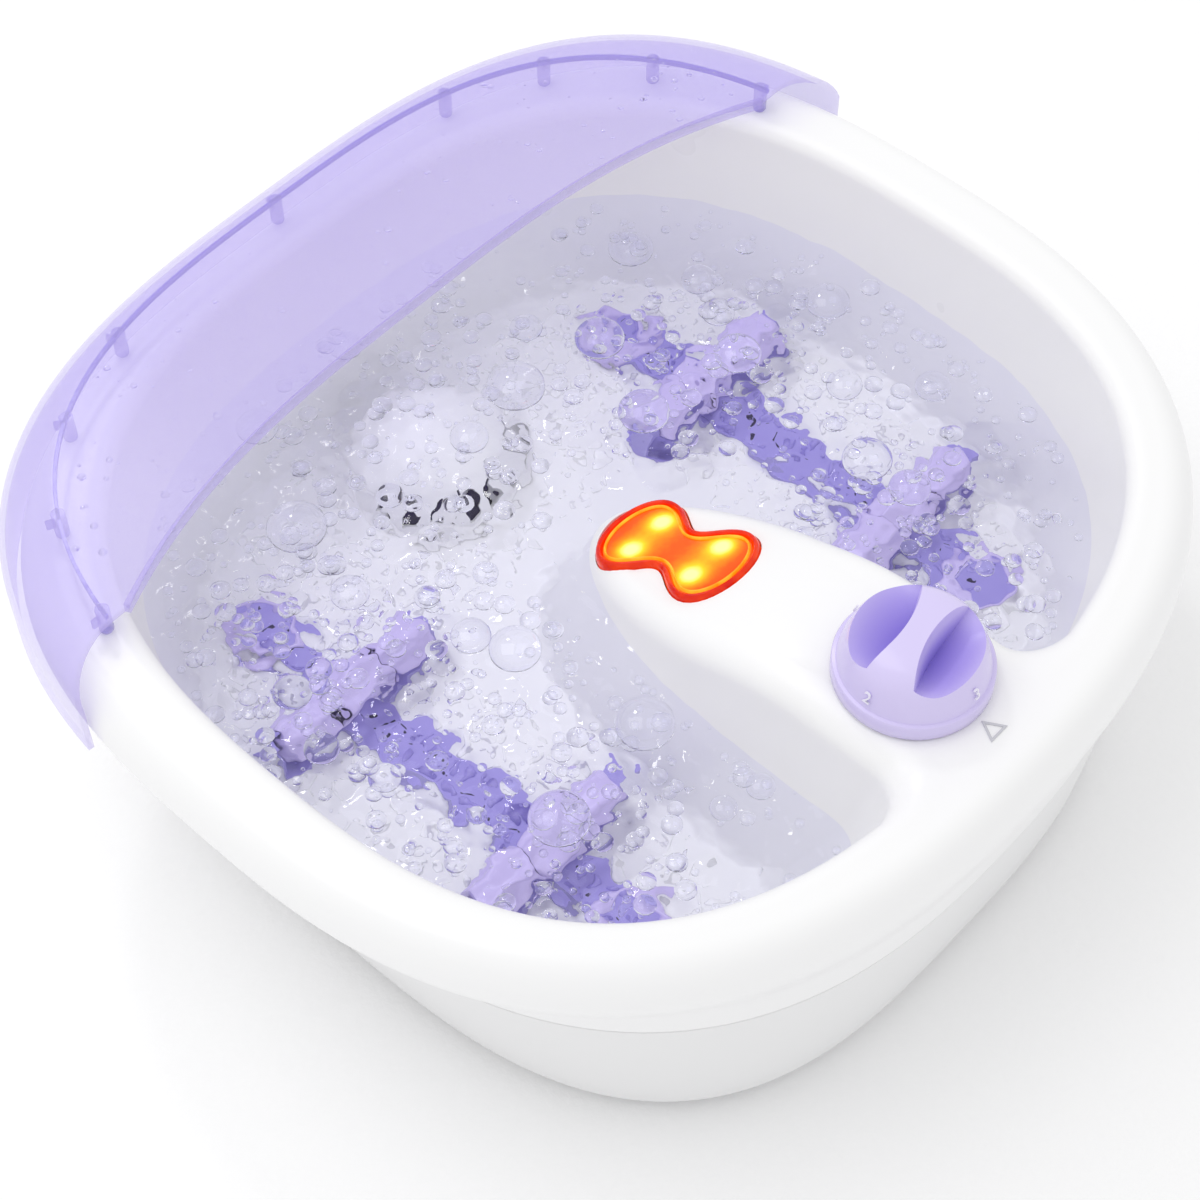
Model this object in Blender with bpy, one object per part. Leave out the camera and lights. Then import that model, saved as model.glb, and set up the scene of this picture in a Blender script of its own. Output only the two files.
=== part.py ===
"""Foot spa basin: a white moulded tub with two foot wells, a console ridge that carries
the selector knob and the infrared lens, massage strips with rollers, a slotted dome at
the toe end, a lift-off splash guard, and the pump, heater, motor and switch inside.

Units are metres and +Z is up.  X runs across the two feet, +Y points to the toe end
with the splash guard, and Z = 0 is the surface that the rubber feet stand on.
"""
import math

import bmesh
import bpy
from mathutils import Matrix, Vector

# Clearances and wall
WALL = 0.0025                 # moulded wall of the tub and the base pan
GAP = 0.0003                  # gap between pieces that touch
RUN = 0.0006                  # running clearance of parts that turn

# Rim: outermost half sizes of the tub and the height of its crown
RIM_HALF_WIDTH = 0.197
RIM_FRONT = 0.187
RIM_BACK = 0.184
RIM_Z = 0.136
RIM_ROLL = 0.012              # width of the rounded outer shoulder of the rim
RIM_ROLL_DROP = 0.016
RIM_POWER_FRONT = 2.45        # superellipse powers of the rim outline
RIM_POWER_BACK = 2.9
RIM_LAND_SIDE = 0.028         # rim width from the outer edge to the well wall
RIM_LAND_FRONT = 0.027
RIM_LAND_BACK = 0.022

# Outer wall under the rim
OVERHANG_SIDE = 0.020         # how far the rim stands out over the wall
OVERHANG_FRONT = 0.007
OVERHANG_BACK = 0.011
FLARE_DROP = 0.034            # height over which the wall flares out to the rim
BASE_HALF_WIDTH = RIM_HALF_WIDTH - OVERHANG_SIDE - 0.022
BASE_FRONT = RIM_FRONT - OVERHANG_FRONT - 0.011
BASE_BACK = RIM_BACK - OVERHANG_BACK - 0.013
BASE_POWER = 3.1
BASE_EDGE = 0.006             # rounded bottom edge
SEAM_Z = 0.075                # joint between tub and base pan

# Wells
FLOOR_Z = 0.032
WELL_POWER = 2.65
WELL_SHOULDER = 0.007         # rounding from rim to well wall
WELL_LEAN = 0.0154            # how far the well wall leans in from its top to its foot
WELL_FILLET = 0.008
WELL_CORNER = 0.017           # plan radius where ridge and front wall meet
WELL_ROOM = 0.0016            # least room between the dome and the floor fillet

# Console ridge between the wells
RIDGE_HALF = 0.035
RIDGE_NOSE = 0.010
RIDGE_STRAIGHT_Y = -0.066     # where the nose turns into the straight sides
RIDGE_SHOULDER = 0.013
RIDGE_SPREAD = 0.54           # share of the ridge width that its lines take at the front rim
DECK_Z = RIM_Z - 0.0004
CREST_START = -0.112
CREST_END = 0.022
CREST_DROP = 0.036
CREST_CROWN = 0.0035

# Base pan, feet and screws
FOOT_H = 0.004
FOOT_R = 0.009
FOOT_X, FOOT_Y = 0.112, 0.118
SCREW_R = 0.0018
SCREW_HEAD_R = 0.0035
SCREW_HEAD_H = 0.0022
BOSS_R = 0.0048
SCREW_SPOTS = ((0.126, 0.070), (0.126, -0.062), (0.046, 0.122))

# Splash guard
GUARD_Z = RIM_Z + 0.014       # top of the sheet
GUARD_T = 0.0022
GUARD_CLEAR = 0.0010          # skirt to rim
GUARD_SKIRT_Z = RIM_Z - 0.024
GUARD_RIB_IN = 0.022          # rib line inside the rim edge, at the sides
GUARD_RIB_IN_BACK = 0.008
GUARD_POWER = 3.0
GUARD_END_Y = 0.074
GUARD_BOW = 0.026             # how far the inner edge bows back in the middle
GUARD_LIP = 0.005
GUARD_END_WIDTH = 0.008       # width of the sheet at its two ends
GUARD_HOOK = 0.011            # skirt ends reach further forward than the sheet
PEG_R = 0.0026
PEG_ANGLES = (0.0, 0.27, 0.50, 0.76, 1.0)

# Selector knob and its switch
KNOB_Y = -0.130
KNOB_R = 0.0275
KNOB_H = 0.026
KNOB_SKIRT_H = 0.0075
KNOB_STEP = 0.0015
SCOOP_LENGTH = 0.0195         # half length of a finger scoop, along the grip bar
SCOOP_IN, SCOOP_TIP, SCOOP_OUT = 0.0042, 0.0085, 0.0220
SCOOP_LEAN = 0.0020
SCOOP_Z = 0.0125
SHAFT_R = 0.003
SHAFT_IN_KNOB = 0.0105
SWITCH_SIZE = (0.034, 0.034, 0.020)
SWITCH_EDGE = 0.001
SEAL_R = 0.0075
SEAL_T = 0.0016

# Infrared lens and its board
LENS_Y = -0.0265
LENS_HALF_LENGTH = 0.0325
LENS_WAIST = 0.0070
LENS_STRETCH = 1.58
LENS_T = 0.0050
LENS_PROUD = 0.0012
BOARD_T = 0.0016
BOARD_DROP = 0.0110           # lens top to board top
LED_R, LED_H = 0.0024, 0.0042
LED_X, LED_DY = 0.0085, 0.0150
BOARD_INSET = 0.003
BOARD_SCREW_DY = 0.0185
BOARD_SCREW_R = 0.0011
BOARD_SCREW_HEAD, BOARD_SCREW_LONG = 0.0015, 0.006

# Massage strips and rollers, set out from the floor of each well
FLOOR_IN_X = RIDGE_HALF + WELL_LEAN + WELL_FILLET
FLOOR_HALF_X = RIM_HALF_WIDTH - RIM_LAND_SIDE - WELL_LEAN - WELL_FILLET
FLOOR_OUT_X = 0.948 * FLOOR_HALF_X   # the floor is this much narrower beside the rollers
STRIP_X = (FLOOR_IN_X + FLOOR_OUT_X) / 2 + 0.0008
STRIP_Y0, STRIP_Y1 = -0.104, 0.098
STRIP_HALF = 0.010
STRIP_H = 0.005
ARM_HALF = 0.008
ROLLER_Y = (0.043, -0.055)
ROLLER_R = 0.0105
ROLLER_HALF = (FLOOR_OUT_X - FLOOR_IN_X) / 2 - 0.0048
ROLLER_Z_OVER_STRIP = 0.0115
ROLLER_BEADS = 3
ROLLER_NECK = 0.62            # radius between two beads, as a share of the full radius
AXLE_R = 0.0020
POST_T = 0.0035
POST_HALF = 0.0045
NIPPLE_R = 0.0035
NIPPLE_Y = 0.010
NIPPLE_DROP = 0.004

# Toe dome
DOME_R = 0.036
DOME_H = 0.036
DOME_FLANGE = 0.002
DOME_Y = (RIM_BACK - RIM_LAND_BACK - WELL_LEAN - WELL_FILLET - WELL_ROOM
          - DOME_R - DOME_FLANGE)
SLOT_COUNT = 9
SLOT_W, SLOT_Z0, SLOT_Z1 = 0.0035, 0.006, 0.021

# Inside parts
PUMP_SIZE = (0.060, 0.042, 0.018)
PUMP_Y = 0.096
HOSE_R = 0.0028
HEATER_SIZE = (0.090, 0.050, 0.004)
HEATER_Y = 0.040
THERMOSTAT_R, THERMOSTAT_H = 0.008, 0.006
MOTOR_R, MOTOR_L = 0.0085, 0.026
MOTOR_Y = -0.040
WEIGHT_R, WEIGHT_T = 0.007, 0.006
CONTROL_SIZE = (0.052, 0.040, 0.0016)
CONTROL_Y, CONTROL_Z = -0.128, 0.046
GLAND_R, GLAND_LEN, GLAND_Z = 0.006, 0.012, 0.022
GLAND_X = 0.060

# Points along the half outline of the wells, from the ridge nose round to the back
NOSE_STEPS = 7
STRAIGHT_STEPS = 4
CORNER_STEPS = 4
WALL_STEPS = 17
HALF_STEPS = NOSE_STEPS + STRAIGHT_STEPS + CORNER_STEPS + WALL_STEPS

WHITE = (0.90, 0.90, 0.90)
LAVENDER = (0.62, 0.55, 0.90)
DARK = (0.05, 0.05, 0.06)
STEEL = (0.60, 0.61, 0.63)


# ---------------------------------------------------------------- scene helpers

def material(name, colour, rough, metal=0.0):
    mat = bpy.data.materials.get(name)
    if mat is None:
        mat = bpy.data.materials.new(name)
        mat.use_nodes = True
        shader = mat.node_tree.nodes["Principled BSDF"]
        shader.inputs["Base Color"].default_value = (*colour, 1.0)
        shader.inputs["Roughness"].default_value = rough
        shader.inputs["Metallic"].default_value = metal
    return mat


def add_object(name, bm, mat=None, origin=(0, 0, 0), parent=None):
    """Turn a bmesh into a named object.  The mesh is given relative to its origin."""
    bmesh.ops.recalc_face_normals(bm, faces=bm.faces)
    mesh = bpy.data.meshes.new(name)
    bm.to_mesh(mesh)
    bm.free()
    mesh.shade_smooth()
    mesh.set_sharp_from_angle(angle=math.radians(35))
    obj = bpy.data.objects.new(name, mesh)
    bpy.context.collection.objects.link(obj)
    obj.location = origin
    if parent is not None:
        obj.parent = parent
    if mat is not None:
        mesh.materials.append(mat)
    return obj


def empty(name, place):
    obj = bpy.data.objects.new(name, None)
    bpy.context.collection.objects.link(obj)
    obj.location = place
    return obj


def cutter(name, bm, origin=(0, 0, 0)):
    obj = add_object(name, bm, origin=origin)
    obj.hide_render = True
    obj.display_type = "WIRE"
    return obj


def boolean(obj, tool, operation="DIFFERENCE"):
    mod = obj.modifiers.new(operation.title(), "BOOLEAN")
    mod.operation = operation
    mod.solver = "EXACT"
    mod.object = tool


def solidify(obj, thickness):
    """Thicken an open sheet that is seen from above towards its under side."""
    if sum(p.normal.z * p.area for p in obj.data.polygons) < 0:
        obj.data.flip_normals()
    mod = obj.modifiers.new("Wall", "SOLIDIFY")
    mod.thickness = thickness
    mod.offset = -1.0
    mod.use_even_offset = False


# ---------------------------------------------------------------- mesh helpers

def lerp(a, b, t):
    return a + (b - a) * t


def smooth(t):
    t = min(max(t, 0.0), 1.0)
    return t * t * (3.0 - 2.0 * t)


def loft(rings, cap_first=False, cap_last=False, closed=True):
    """Skin a list of point rings.  Rings run counter-clockwise seen from above."""
    bm = bmesh.new()
    rows = [[bm.verts.new(p) for p in ring] for ring in rings]
    count = len(rows[0])
    for low, high in zip(rows, rows[1:]):
        for i in range(count if closed else count - 1):
            j = (i + 1) % count
            bm.faces.new((low[i], low[j], high[j], high[i]))
    if cap_first:
        bm.faces.new(list(reversed(rows[0])))
    if cap_last:
        bm.faces.new(rows[-1])
    return bm


def turned(profile, steps, axis="Z"):
    """Closed solid of revolution of a closed (radius, height) profile."""
    bm = bmesh.new()
    verts = [bm.verts.new((r, 0.0, h)) for r, h in profile]
    edges = [bm.edges.new((verts[i], verts[i + 1])) for i in range(len(verts) - 1)]
    if min(profile[0][0], profile[-1][0]) > 0.0:
        edges.append(bm.edges.new((verts[-1], verts[0])))
    bmesh.ops.spin(bm, geom=verts + edges, cent=(0, 0, 0), axis=(0, 0, 1),
                   angle=2 * math.pi, steps=steps, use_merge=True)
    bmesh.ops.remove_doubles(bm, verts=bm.verts, dist=1e-6)
    if axis == "X":
        bmesh.ops.rotate(bm, verts=bm.verts, matrix=Matrix.Rotation(math.pi / 2, 3, "Y"))
    if axis == "Y":
        bmesh.ops.rotate(bm, verts=bm.verts, matrix=Matrix.Rotation(-math.pi / 2, 3, "X"))
    return bm


def rod(radius, z0, z1, steps=12, axis="Z"):
    return turned([(0.0, z0), (radius, z0), (radius, z1), (0.0, z1)], steps, axis)


def block(size, centre=(0, 0, 0), bevel=0.0):
    bm = bmesh.new()
    bmesh.ops.create_cube(bm, size=1.0)
    bmesh.ops.scale(bm, vec=size, verts=bm.verts)
    if bevel:
        bmesh.ops.bevel(bm, geom=bm.edges[:], offset=bevel, segments=1, affect="EDGES",
                        profile=0.5)
    bmesh.ops.translate(bm, vec=centre, verts=bm.verts)
    return bm


def prism(outline, z0, z1):
    return loft([[(x, y, z) for x, y in outline] for z in (z0, z1)], True, True)


def merge(parts):
    """Several separate meshes in one bmesh, for cutters."""
    whole = bmesh.new()
    for part in parts:
        temp = bpy.data.meshes.new("temp")
        part.to_mesh(temp)
        part.free()
        whole.from_mesh(temp)
        bpy.data.meshes.remove(temp)
    return whole


def moved(bm, offset):
    bmesh.ops.translate(bm, vec=offset, verts=bm.verts)
    return bm


# ---------------------------------------------------------------- outlines

def oval(half_x, front, back, power_front, power_back, angle):
    """Superellipse point.  The angle runs from -Y (0) over +X to +Y (pi)."""
    s, c = math.sin(angle), math.cos(angle)
    power = power_front if c > 0 else power_back
    reach = front if c > 0 else back
    x = half_x * math.copysign(abs(s) ** (2 / power), s)
    y = -reach * math.copysign(abs(c) ** (2 / power), c)
    return x, y


def front_y(half_x, front, power, x):
    return -front * (1.0 - (x / half_x) ** power) ** (1.0 / power)


def well_half(inset):
    """Right half of the U-shaped well outline, from the ridge nose to the back."""
    width = RIDGE_HALF + inset
    nose = RIDGE_NOSE + inset
    side = RIM_HALF_WIDTH - RIM_LAND_SIDE - inset
    front = RIM_FRONT - RIM_LAND_FRONT - inset
    back = RIM_BACK - RIM_LAND_BACK - inset
    points = []
    for i in range(NOSE_STEPS + 1):
        t = 0.5 * math.pi * i / NOSE_STEPS
        points.append((width * math.sin(t),
                       RIDGE_STRAIGHT_Y + (nose - RIDGE_STRAIGHT_Y) * math.cos(t)))
    corner_x = width + WELL_CORNER
    corner_y = front_y(side, front, WELL_POWER, corner_x)
    for i in range(1, STRAIGHT_STEPS):
        t = i / STRAIGHT_STEPS
        points.append((width, lerp(RIDGE_STRAIGHT_Y, corner_y + WELL_CORNER, t)))
    for i in range(CORNER_STEPS + 1):
        t = 0.5 * math.pi * i / CORNER_STEPS
        points.append((width + WELL_CORNER * (1 - math.cos(t)),
                       corner_y + WELL_CORNER * (1 - math.sin(t))))
    start = math.asin((corner_x / side) ** (WELL_POWER / 2))
    for i in range(1, WALL_STEPS + 1):
        angle = lerp(start, math.pi, i / WALL_STEPS)
        points.append(oval(side, front, back, WELL_POWER, WELL_POWER, angle))
    return points


def outer_half(half_x, front, back, power_front, power_back):
    """Outer outline with one point for each point of the well outline."""
    notch = NOSE_STEPS + STRAIGHT_STEPS + CORNER_STEPS
    inner = well_half(0.0)
    run = [0.0]
    for (x0, y0), (x1, y1) in zip(inner, inner[1:notch + 1]):
        run.append(run[-1] + math.hypot(x1 - x0, y1 - y0))
    side = RIM_HALF_WIDTH - RIM_LAND_SIDE
    start = math.asin((inner[notch][0] / side) ** (WELL_POWER / 2))
    edge_x = half_x * math.sin(start) ** (2 / power_front)
    points = []
    turn = run[-1 - CORNER_STEPS]
    spread = RIDGE_SPREAD * RIDGE_HALF
    for length in run:
        x = spread * min(length / turn, 1.0)
        x = lerp(x, edge_x, max(length - turn, 0.0) / (run[-1] - turn))
        points.append((x, front_y(half_x, front, power_front, x)))
    for i in range(1, WALL_STEPS + 1):
        angle = lerp(start, math.pi, i / WALL_STEPS)
        points.append(oval(half_x, front, back, power_front, power_back, angle))
    return points


def mirrored(half, heights):
    """Close a half outline over the YZ plane and give each point its height."""
    right = [(x, y, z) for (x, y), z in zip(half, heights)]
    left = [(-x, y, z) for x, y, z in reversed(right[1:-1])]
    return right + left


def crest(y):
    return DECK_Z - CREST_DROP * smooth((y - CREST_START) / (CREST_END - CREST_START))


def ridge_share(index):
    """1 along the ridge, 0 along the rim, blended over the well corner."""
    return 1.0 - smooth((index - NOSE_STEPS - STRAIGHT_STEPS) / CORNER_STEPS)


def body_sizes(z):
    """Half sizes of the outer wall at a height under the rim flare."""
    flare_z = RIM_Z - RIM_ROLL_DROP - FLARE_DROP
    t = z / flare_z
    return (lerp(BASE_HALF_WIDTH, RIM_HALF_WIDTH - OVERHANG_SIDE, t),
            lerp(BASE_FRONT, RIM_FRONT - OVERHANG_FRONT, t),
            lerp(BASE_BACK, RIM_BACK - OVERHANG_BACK, t),
            lerp(BASE_POWER, RIM_POWER_FRONT, t),
            lerp(BASE_POWER, RIM_POWER_BACK, t))


def flare_sizes(t):
    """Half sizes from the top of the wall (t = 0) to the outermost rim (t = 1)."""
    low = body_sizes(RIM_Z - RIM_ROLL_DROP - FLARE_DROP)
    high = (RIM_HALF_WIDTH, RIM_FRONT, RIM_BACK, RIM_POWER_FRONT, RIM_POWER_BACK)
    return [lerp(a, b, smooth(t)) for a, b in zip(low, high)]


# ---------------------------------------------------------------- tub shell

def shell_rings():
    rings = []
    count = HALF_STEPS + 1
    flare_z = RIM_Z - RIM_ROLL_DROP - FLARE_DROP
    # outer wall from the seam up
    rings.append(mirrored(outer_half(*body_sizes(SEAM_Z)), [SEAM_Z] * count))
    for t in (0.0, 0.3, 0.5, 0.7, 1.0):
        rings.append(mirrored(outer_half(*flare_sizes(t)), [flare_z + FLARE_DROP * t] * count))
    # rounded outer shoulder of the rim
    for t in (0.25, 0.5, 0.75, 1.0):
        turn = 0.5 * math.pi * t
        cut = RIM_ROLL * (1 - math.cos(turn))
        sizes = (RIM_HALF_WIDTH - cut, RIM_FRONT - cut, RIM_BACK - cut,
                 RIM_POWER_FRONT, RIM_POWER_BACK)
        z = RIM_Z - RIM_ROLL_DROP * (1 - math.sin(turn))
        rings.append(mirrored(outer_half(*sizes), [z] * count))
    outer_top = outer_half(*sizes)
    # deck and crown, from the outer shoulder to the edge of the wells
    shoulders = [lerp(WELL_SHOULDER, RIDGE_SHOULDER, ridge_share(i)) for i in range(count)]
    edge = [well_half(-shoulders[i])[i] for i in range(count)]
    edge_z = []
    for v in (0.25, 0.5, 0.75, 1.0):
        half, heights = [], []
        for i in range(count):
            x = lerp(outer_top[i][0], edge[i][0], v)
            y = lerp(outer_top[i][1], edge[i][1], v)
            ridge_z = crest(y) + (RIM_Z - DECK_Z) * (1 - v) ** 2
            crown = CREST_CROWN * smooth((y - KNOB_Y) / (2 * KNOB_R))
            ridge_z -= crown * min(x / RIDGE_HALF, 1.0) ** 2 * smooth(v)
            half.append((x, y))
            heights.append(lerp(RIM_Z, ridge_z, ridge_share(i)))
        rings.append(mirrored(half, heights))
        edge_z = heights
    # rounding into the wells, drafted wall and floor fillet
    for t in (0.33, 0.67, 1.0):
        turn = 0.5 * math.pi * t
        half = [well_half(-shoulders[i] * (1 - math.sin(turn)))[i] for i in range(count)]
        heights = [edge_z[i] - shoulders[i] * (1 - math.cos(turn)) for i in range(count)]
        rings.append(mirrored(half, heights))
    wall_top = [edge_z[i] - shoulders[i] for i in range(count)]
    wall_foot = FLOOR_Z + WELL_FILLET
    for t in (0.5, 1.0):
        heights = [lerp(z, wall_foot, t) for z in wall_top]
        rings.append(mirrored(well_half(WELL_LEAN * t), heights))
    for t in (0.5, 1.0):
        turn = 0.5 * math.pi * t
        inset = WELL_LEAN + WELL_FILLET * (1 - math.cos(turn))
        z = wall_foot - WELL_FILLET * math.sin(turn)
        rings.append(mirrored(well_half(inset), [z] * count))
    return rings


def floor_screws():
    """Places of the base screws: each spot and its mirror image."""
    return [(sign * x, y) for x, y in SCREW_SPOTS for sign in (-1, 1)]


def lens_frame():
    """Matrix of the lens plane: its centre on the ridge crest, tilted with the slope."""
    step = 0.001
    slope = (crest(LENS_Y + step) - crest(LENS_Y - step)) / (2 * step)
    tilt = Matrix.Rotation(math.atan(slope), 4, "X")
    return Matrix.Translation((0, LENS_Y, crest(LENS_Y))) @ tilt


def lens_outline(grow=0.0, steps=36):
    """Two ovals joined by a waist: a stretched Cassini oval with its foci on Y."""
    length = LENS_HALF_LENGTH
    b2 = (length ** 2 + LENS_WAIST ** 2) / 2
    c2 = (length ** 2 - LENS_WAIST ** 2) / 2
    points = []
    for i in range(steps):
        a = 2 * math.pi * i / steps
        cos2 = -math.cos(2 * a)
        r = math.sqrt(c2 * cos2 + math.sqrt(b2 ** 2 - (c2 * math.sin(2 * a)) ** 2))
        points.append(Vector((LENS_STRETCH * r * math.cos(a), r * math.sin(a))))
    grown = []
    for i, p in enumerate(points):
        along = points[(i + 1) % steps] - points[i - 1]
        normal = Vector((along.y, -along.x)).normalized()
        q = p + normal * grow
        grown.append((q.x, q.y))
    return grown


def tub_shell():
    obj = add_object("tub_shell", loft(shell_rings(), cap_last=True),
                     material("shell_white", WHITE, 0.32))
    solidify(obj, WALL)
    cuts = [moved(rod(SHAFT_R + RUN, DECK_Z - 0.02, DECK_Z + 0.02), (0, KNOB_Y, 0))]
    for sign in (-1, 1):
        cuts.append(moved(rod(NIPPLE_R + GAP, FLOOR_Z - 0.02, FLOOR_Z + 0.02),
                          (sign * STRIP_X, NIPPLE_Y, 0)))
    window = prism(lens_outline(GAP), -0.016, 0.016)
    bmesh.ops.transform(window, matrix=lens_frame(), verts=window.verts)
    boolean(obj, cutter("hole_tool", merge(cuts + [window])))
    bore = SCREW_R + GAP
    foot, top = FOOT_H + WALL + GAP, FLOOR_Z - WALL / 2
    pilot_top = FLOOR_Z - WALL - 0.004
    profile = [(0.0, pilot_top), (bore, pilot_top), (bore, foot), (BOSS_R, foot),
               (BOSS_R, top), (0.0, top)]
    bosses = [moved(turned(profile, 12), (x, y, 0)) for x, y in floor_screws()]
    boolean(obj, cutter("boss_tool", merge(bosses)), "UNION")


# ---------------------------------------------------------------- base pan

def pan_rings():
    sizes = [(FOOT_H, BASE_EDGE), (FOOT_H + BASE_EDGE * 0.3, BASE_EDGE * 0.3),
             (FOOT_H + BASE_EDGE, 0.0)]
    top = SEAM_Z - GAP
    sizes += [(lerp(FOOT_H + BASE_EDGE, top, t), 0.0) for t in (0.33, 0.67, 1.0)]
    # back down inside, one wall in from the outside
    sizes += [(lerp(FOOT_H + BASE_EDGE, top, t), WALL) for t in (1.0, 0.67, 0.33, 0.0)]
    sizes.append((FOOT_H + WALL, BASE_EDGE + WALL))
    steps = 44
    rings = []
    for z, cut in sizes:
        half_x, front, back, power_front, power_back = body_sizes(z)
        ring = []
        for i in range(steps):
            x, y = oval(half_x - cut, front - cut, back - cut, power_front, power_back,
                        2 * math.pi * i / steps)
            ring.append((x, y, z))
        rings.append(ring)
    return rings


def base_pan():
    obj = add_object("base_pan", loft(pan_rings(), cap_first=True, cap_last=True),
                     material("pan_white", WHITE, 0.38))
    cuts = [moved(rod(SCREW_R + GAP, FOOT_H - 0.01, FOOT_H + WALL + 0.01), (x, y, 0))
            for x, y in floor_screws()]
    gland_y = body_sizes(GLAND_Z)[2]
    cuts.append(moved(rod(GLAND_R + GAP, -0.02, 0.02, 12, "Y"), (GLAND_X, gland_y, GLAND_Z)))
    boolean(obj, cutter("pan_tool", merge(cuts)))


def feet_and_screws():
    rubber = material("foot_rubber", (0.75, 0.75, 0.77), 0.8)
    steel = material("screw_steel", STEEL, 0.3, 1.0)
    names = ("front_left", "front_right", "back_left", "back_right")
    for name, sx, sy in zip(names, (-1, 1, -1, 1), (-1, -1, 1, 1)):
        add_object("rubber_foot_" + name, rod(FOOT_R, 0.0, FOOT_H - GAP, 16), rubber,
                   (sx * FOOT_X, sy * FOOT_Y, 0))
    shank_top = FLOOR_Z - WALL - 0.006
    head_z = FOOT_H - GAP
    profile = [(0.0, head_z - SCREW_HEAD_H), (SCREW_HEAD_R, head_z - SCREW_HEAD_H),
               (SCREW_HEAD_R, head_z), (SCREW_R, head_z), (SCREW_R, shank_top),
               (0.0, shank_top)]
    for number, (x, y) in enumerate(floor_screws(), 1):
        add_object("base_screw_%d" % number, turned(profile, 10), steel, (x, y, 0))


# ---------------------------------------------------------------- splash guard

def guard_curve(half_x, reach, u, end_y):
    """Point on a guard outline.  u runs from -1 to 1, end to end over the toe side."""
    end = math.acos((end_y / reach) ** (GUARD_POWER / 2))
    angle = end * u
    x = half_x * math.copysign(abs(math.sin(angle)) ** (2 / GUARD_POWER), angle)
    return x, reach * math.cos(angle) ** (2 / GUARD_POWER)


def guard_rib(u):
    return guard_curve(RIM_HALF_WIDTH - GUARD_RIB_IN, RIM_BACK - GUARD_RIB_IN_BACK, u,
                       GUARD_END_Y)


def guard_rings():
    outer = GUARD_CLEAR + GUARD_T
    end_x = guard_rib(1.0)[0] - GUARD_END_WIDTH
    steps = 36
    rows = []
    for i in range(steps + 1):
        s = 2.0 * i / steps - 1.0
        u = math.copysign(abs(s) ** 0.9, s)
        rib = Vector(guard_rib(u))
        inner_x = end_x * u
        inner = Vector((inner_x, GUARD_END_Y + GUARD_BOW * (1 - abs(u) ** 3)))
        row = [(inner.x, inner.y, GUARD_Z - GUARD_LIP), (inner.x, inner.y, GUARD_Z)]
        for t in (0.35, 0.7, 1.0):
            p = inner.lerp(rib, t)
            row.append((p.x, p.y, GUARD_Z))
        shoulder = GUARD_Z - RIM_Z + 0.002
        for t in (0.3, 0.6, 0.85, 1.0):
            turn = 0.5 * math.pi * t
            reach = Vector(guard_curve(RIM_HALF_WIDTH + outer, RIM_BACK + outer, u,
                                       GUARD_END_Y - GUARD_HOOK * t))
            p = rib.lerp(reach, math.sin(turn))
            row.append((p.x, p.y, GUARD_Z - shoulder * (1 - math.cos(turn))))
        row.append((reach.x, reach.y, GUARD_SKIRT_Z))
        rows.append(row)
    return rows


def splash_guard():
    obj = add_object("splash_guard", loft(guard_rings(), closed=False),
                     material("guard_lavender", LAVENDER, 0.15))
    solidify(obj, GUARD_T)
    pegs = []
    for angle in PEG_ANGLES:
        for sign in ((-1, 1) if angle else (1,)):
            x, y = guard_rib(sign * angle * 0.97)
            pegs.append(moved(rod(PEG_R, RIM_Z + GAP, GUARD_Z - GUARD_T / 2, 8), (x, y, 0)))
    boolean(obj, cutter("peg_tool", merge(pegs)), "UNION")


# ---------------------------------------------------------------- knob and switch

def knob_dome():
    """Dome of the knob from its top centre down to the skirt, as (radius, height)."""
    shares = ((0.0, 1.0), (0.22, 0.997), (0.44, 0.982), (0.67, 0.90), (0.82, 0.72),
              (0.90, 0.48))
    top = [(KNOB_R * r, KNOB_H * z) for r, z in shares]
    return top + [(KNOB_R - KNOB_STEP, KNOB_SKIRT_H)]


def dome_height(radius):
    line = knob_dome()
    for (r0, z0), (r1, z1) in zip(line, line[1:]):
        if radius <= r1:
            return lerp(z0, z1, (radius - r0) / (r1 - r0))
    return line[-1][1]


def finger_scoop(sign):
    """Leaf-shaped scoop: a steep wall at the grip bar and a gentle slope outwards."""
    stations = 12
    rings = []
    for i in range(stations + 1):
        s = math.sin(math.radians(lerp(-86, 86, i / stations)))
        x, open_share = SCOOP_LENGTH * s, math.sqrt(1 - s * s)
        y_in = lerp(SCOOP_TIP, SCOOP_IN, 1 - s * s)
        y_out = lerp(SCOOP_TIP, SCOOP_OUT, open_share)
        z_in = dome_height(math.hypot(x, y_in))
        z_out = dome_height(math.hypot(x, y_out))
        y_low = y_in + SCOOP_LEAN * open_share
        z_low = lerp(z_in, SCOOP_Z, open_share)
        section = [(y_in, 1.3 * KNOB_H), (y_in, z_in), (y_low, z_low), (y_out, z_out),
                   (y_out, 1.3 * KNOB_H)]
        rings.append([(x, sign * y, z) for y, z in section])
    return loft(rings, True, True)


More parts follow.
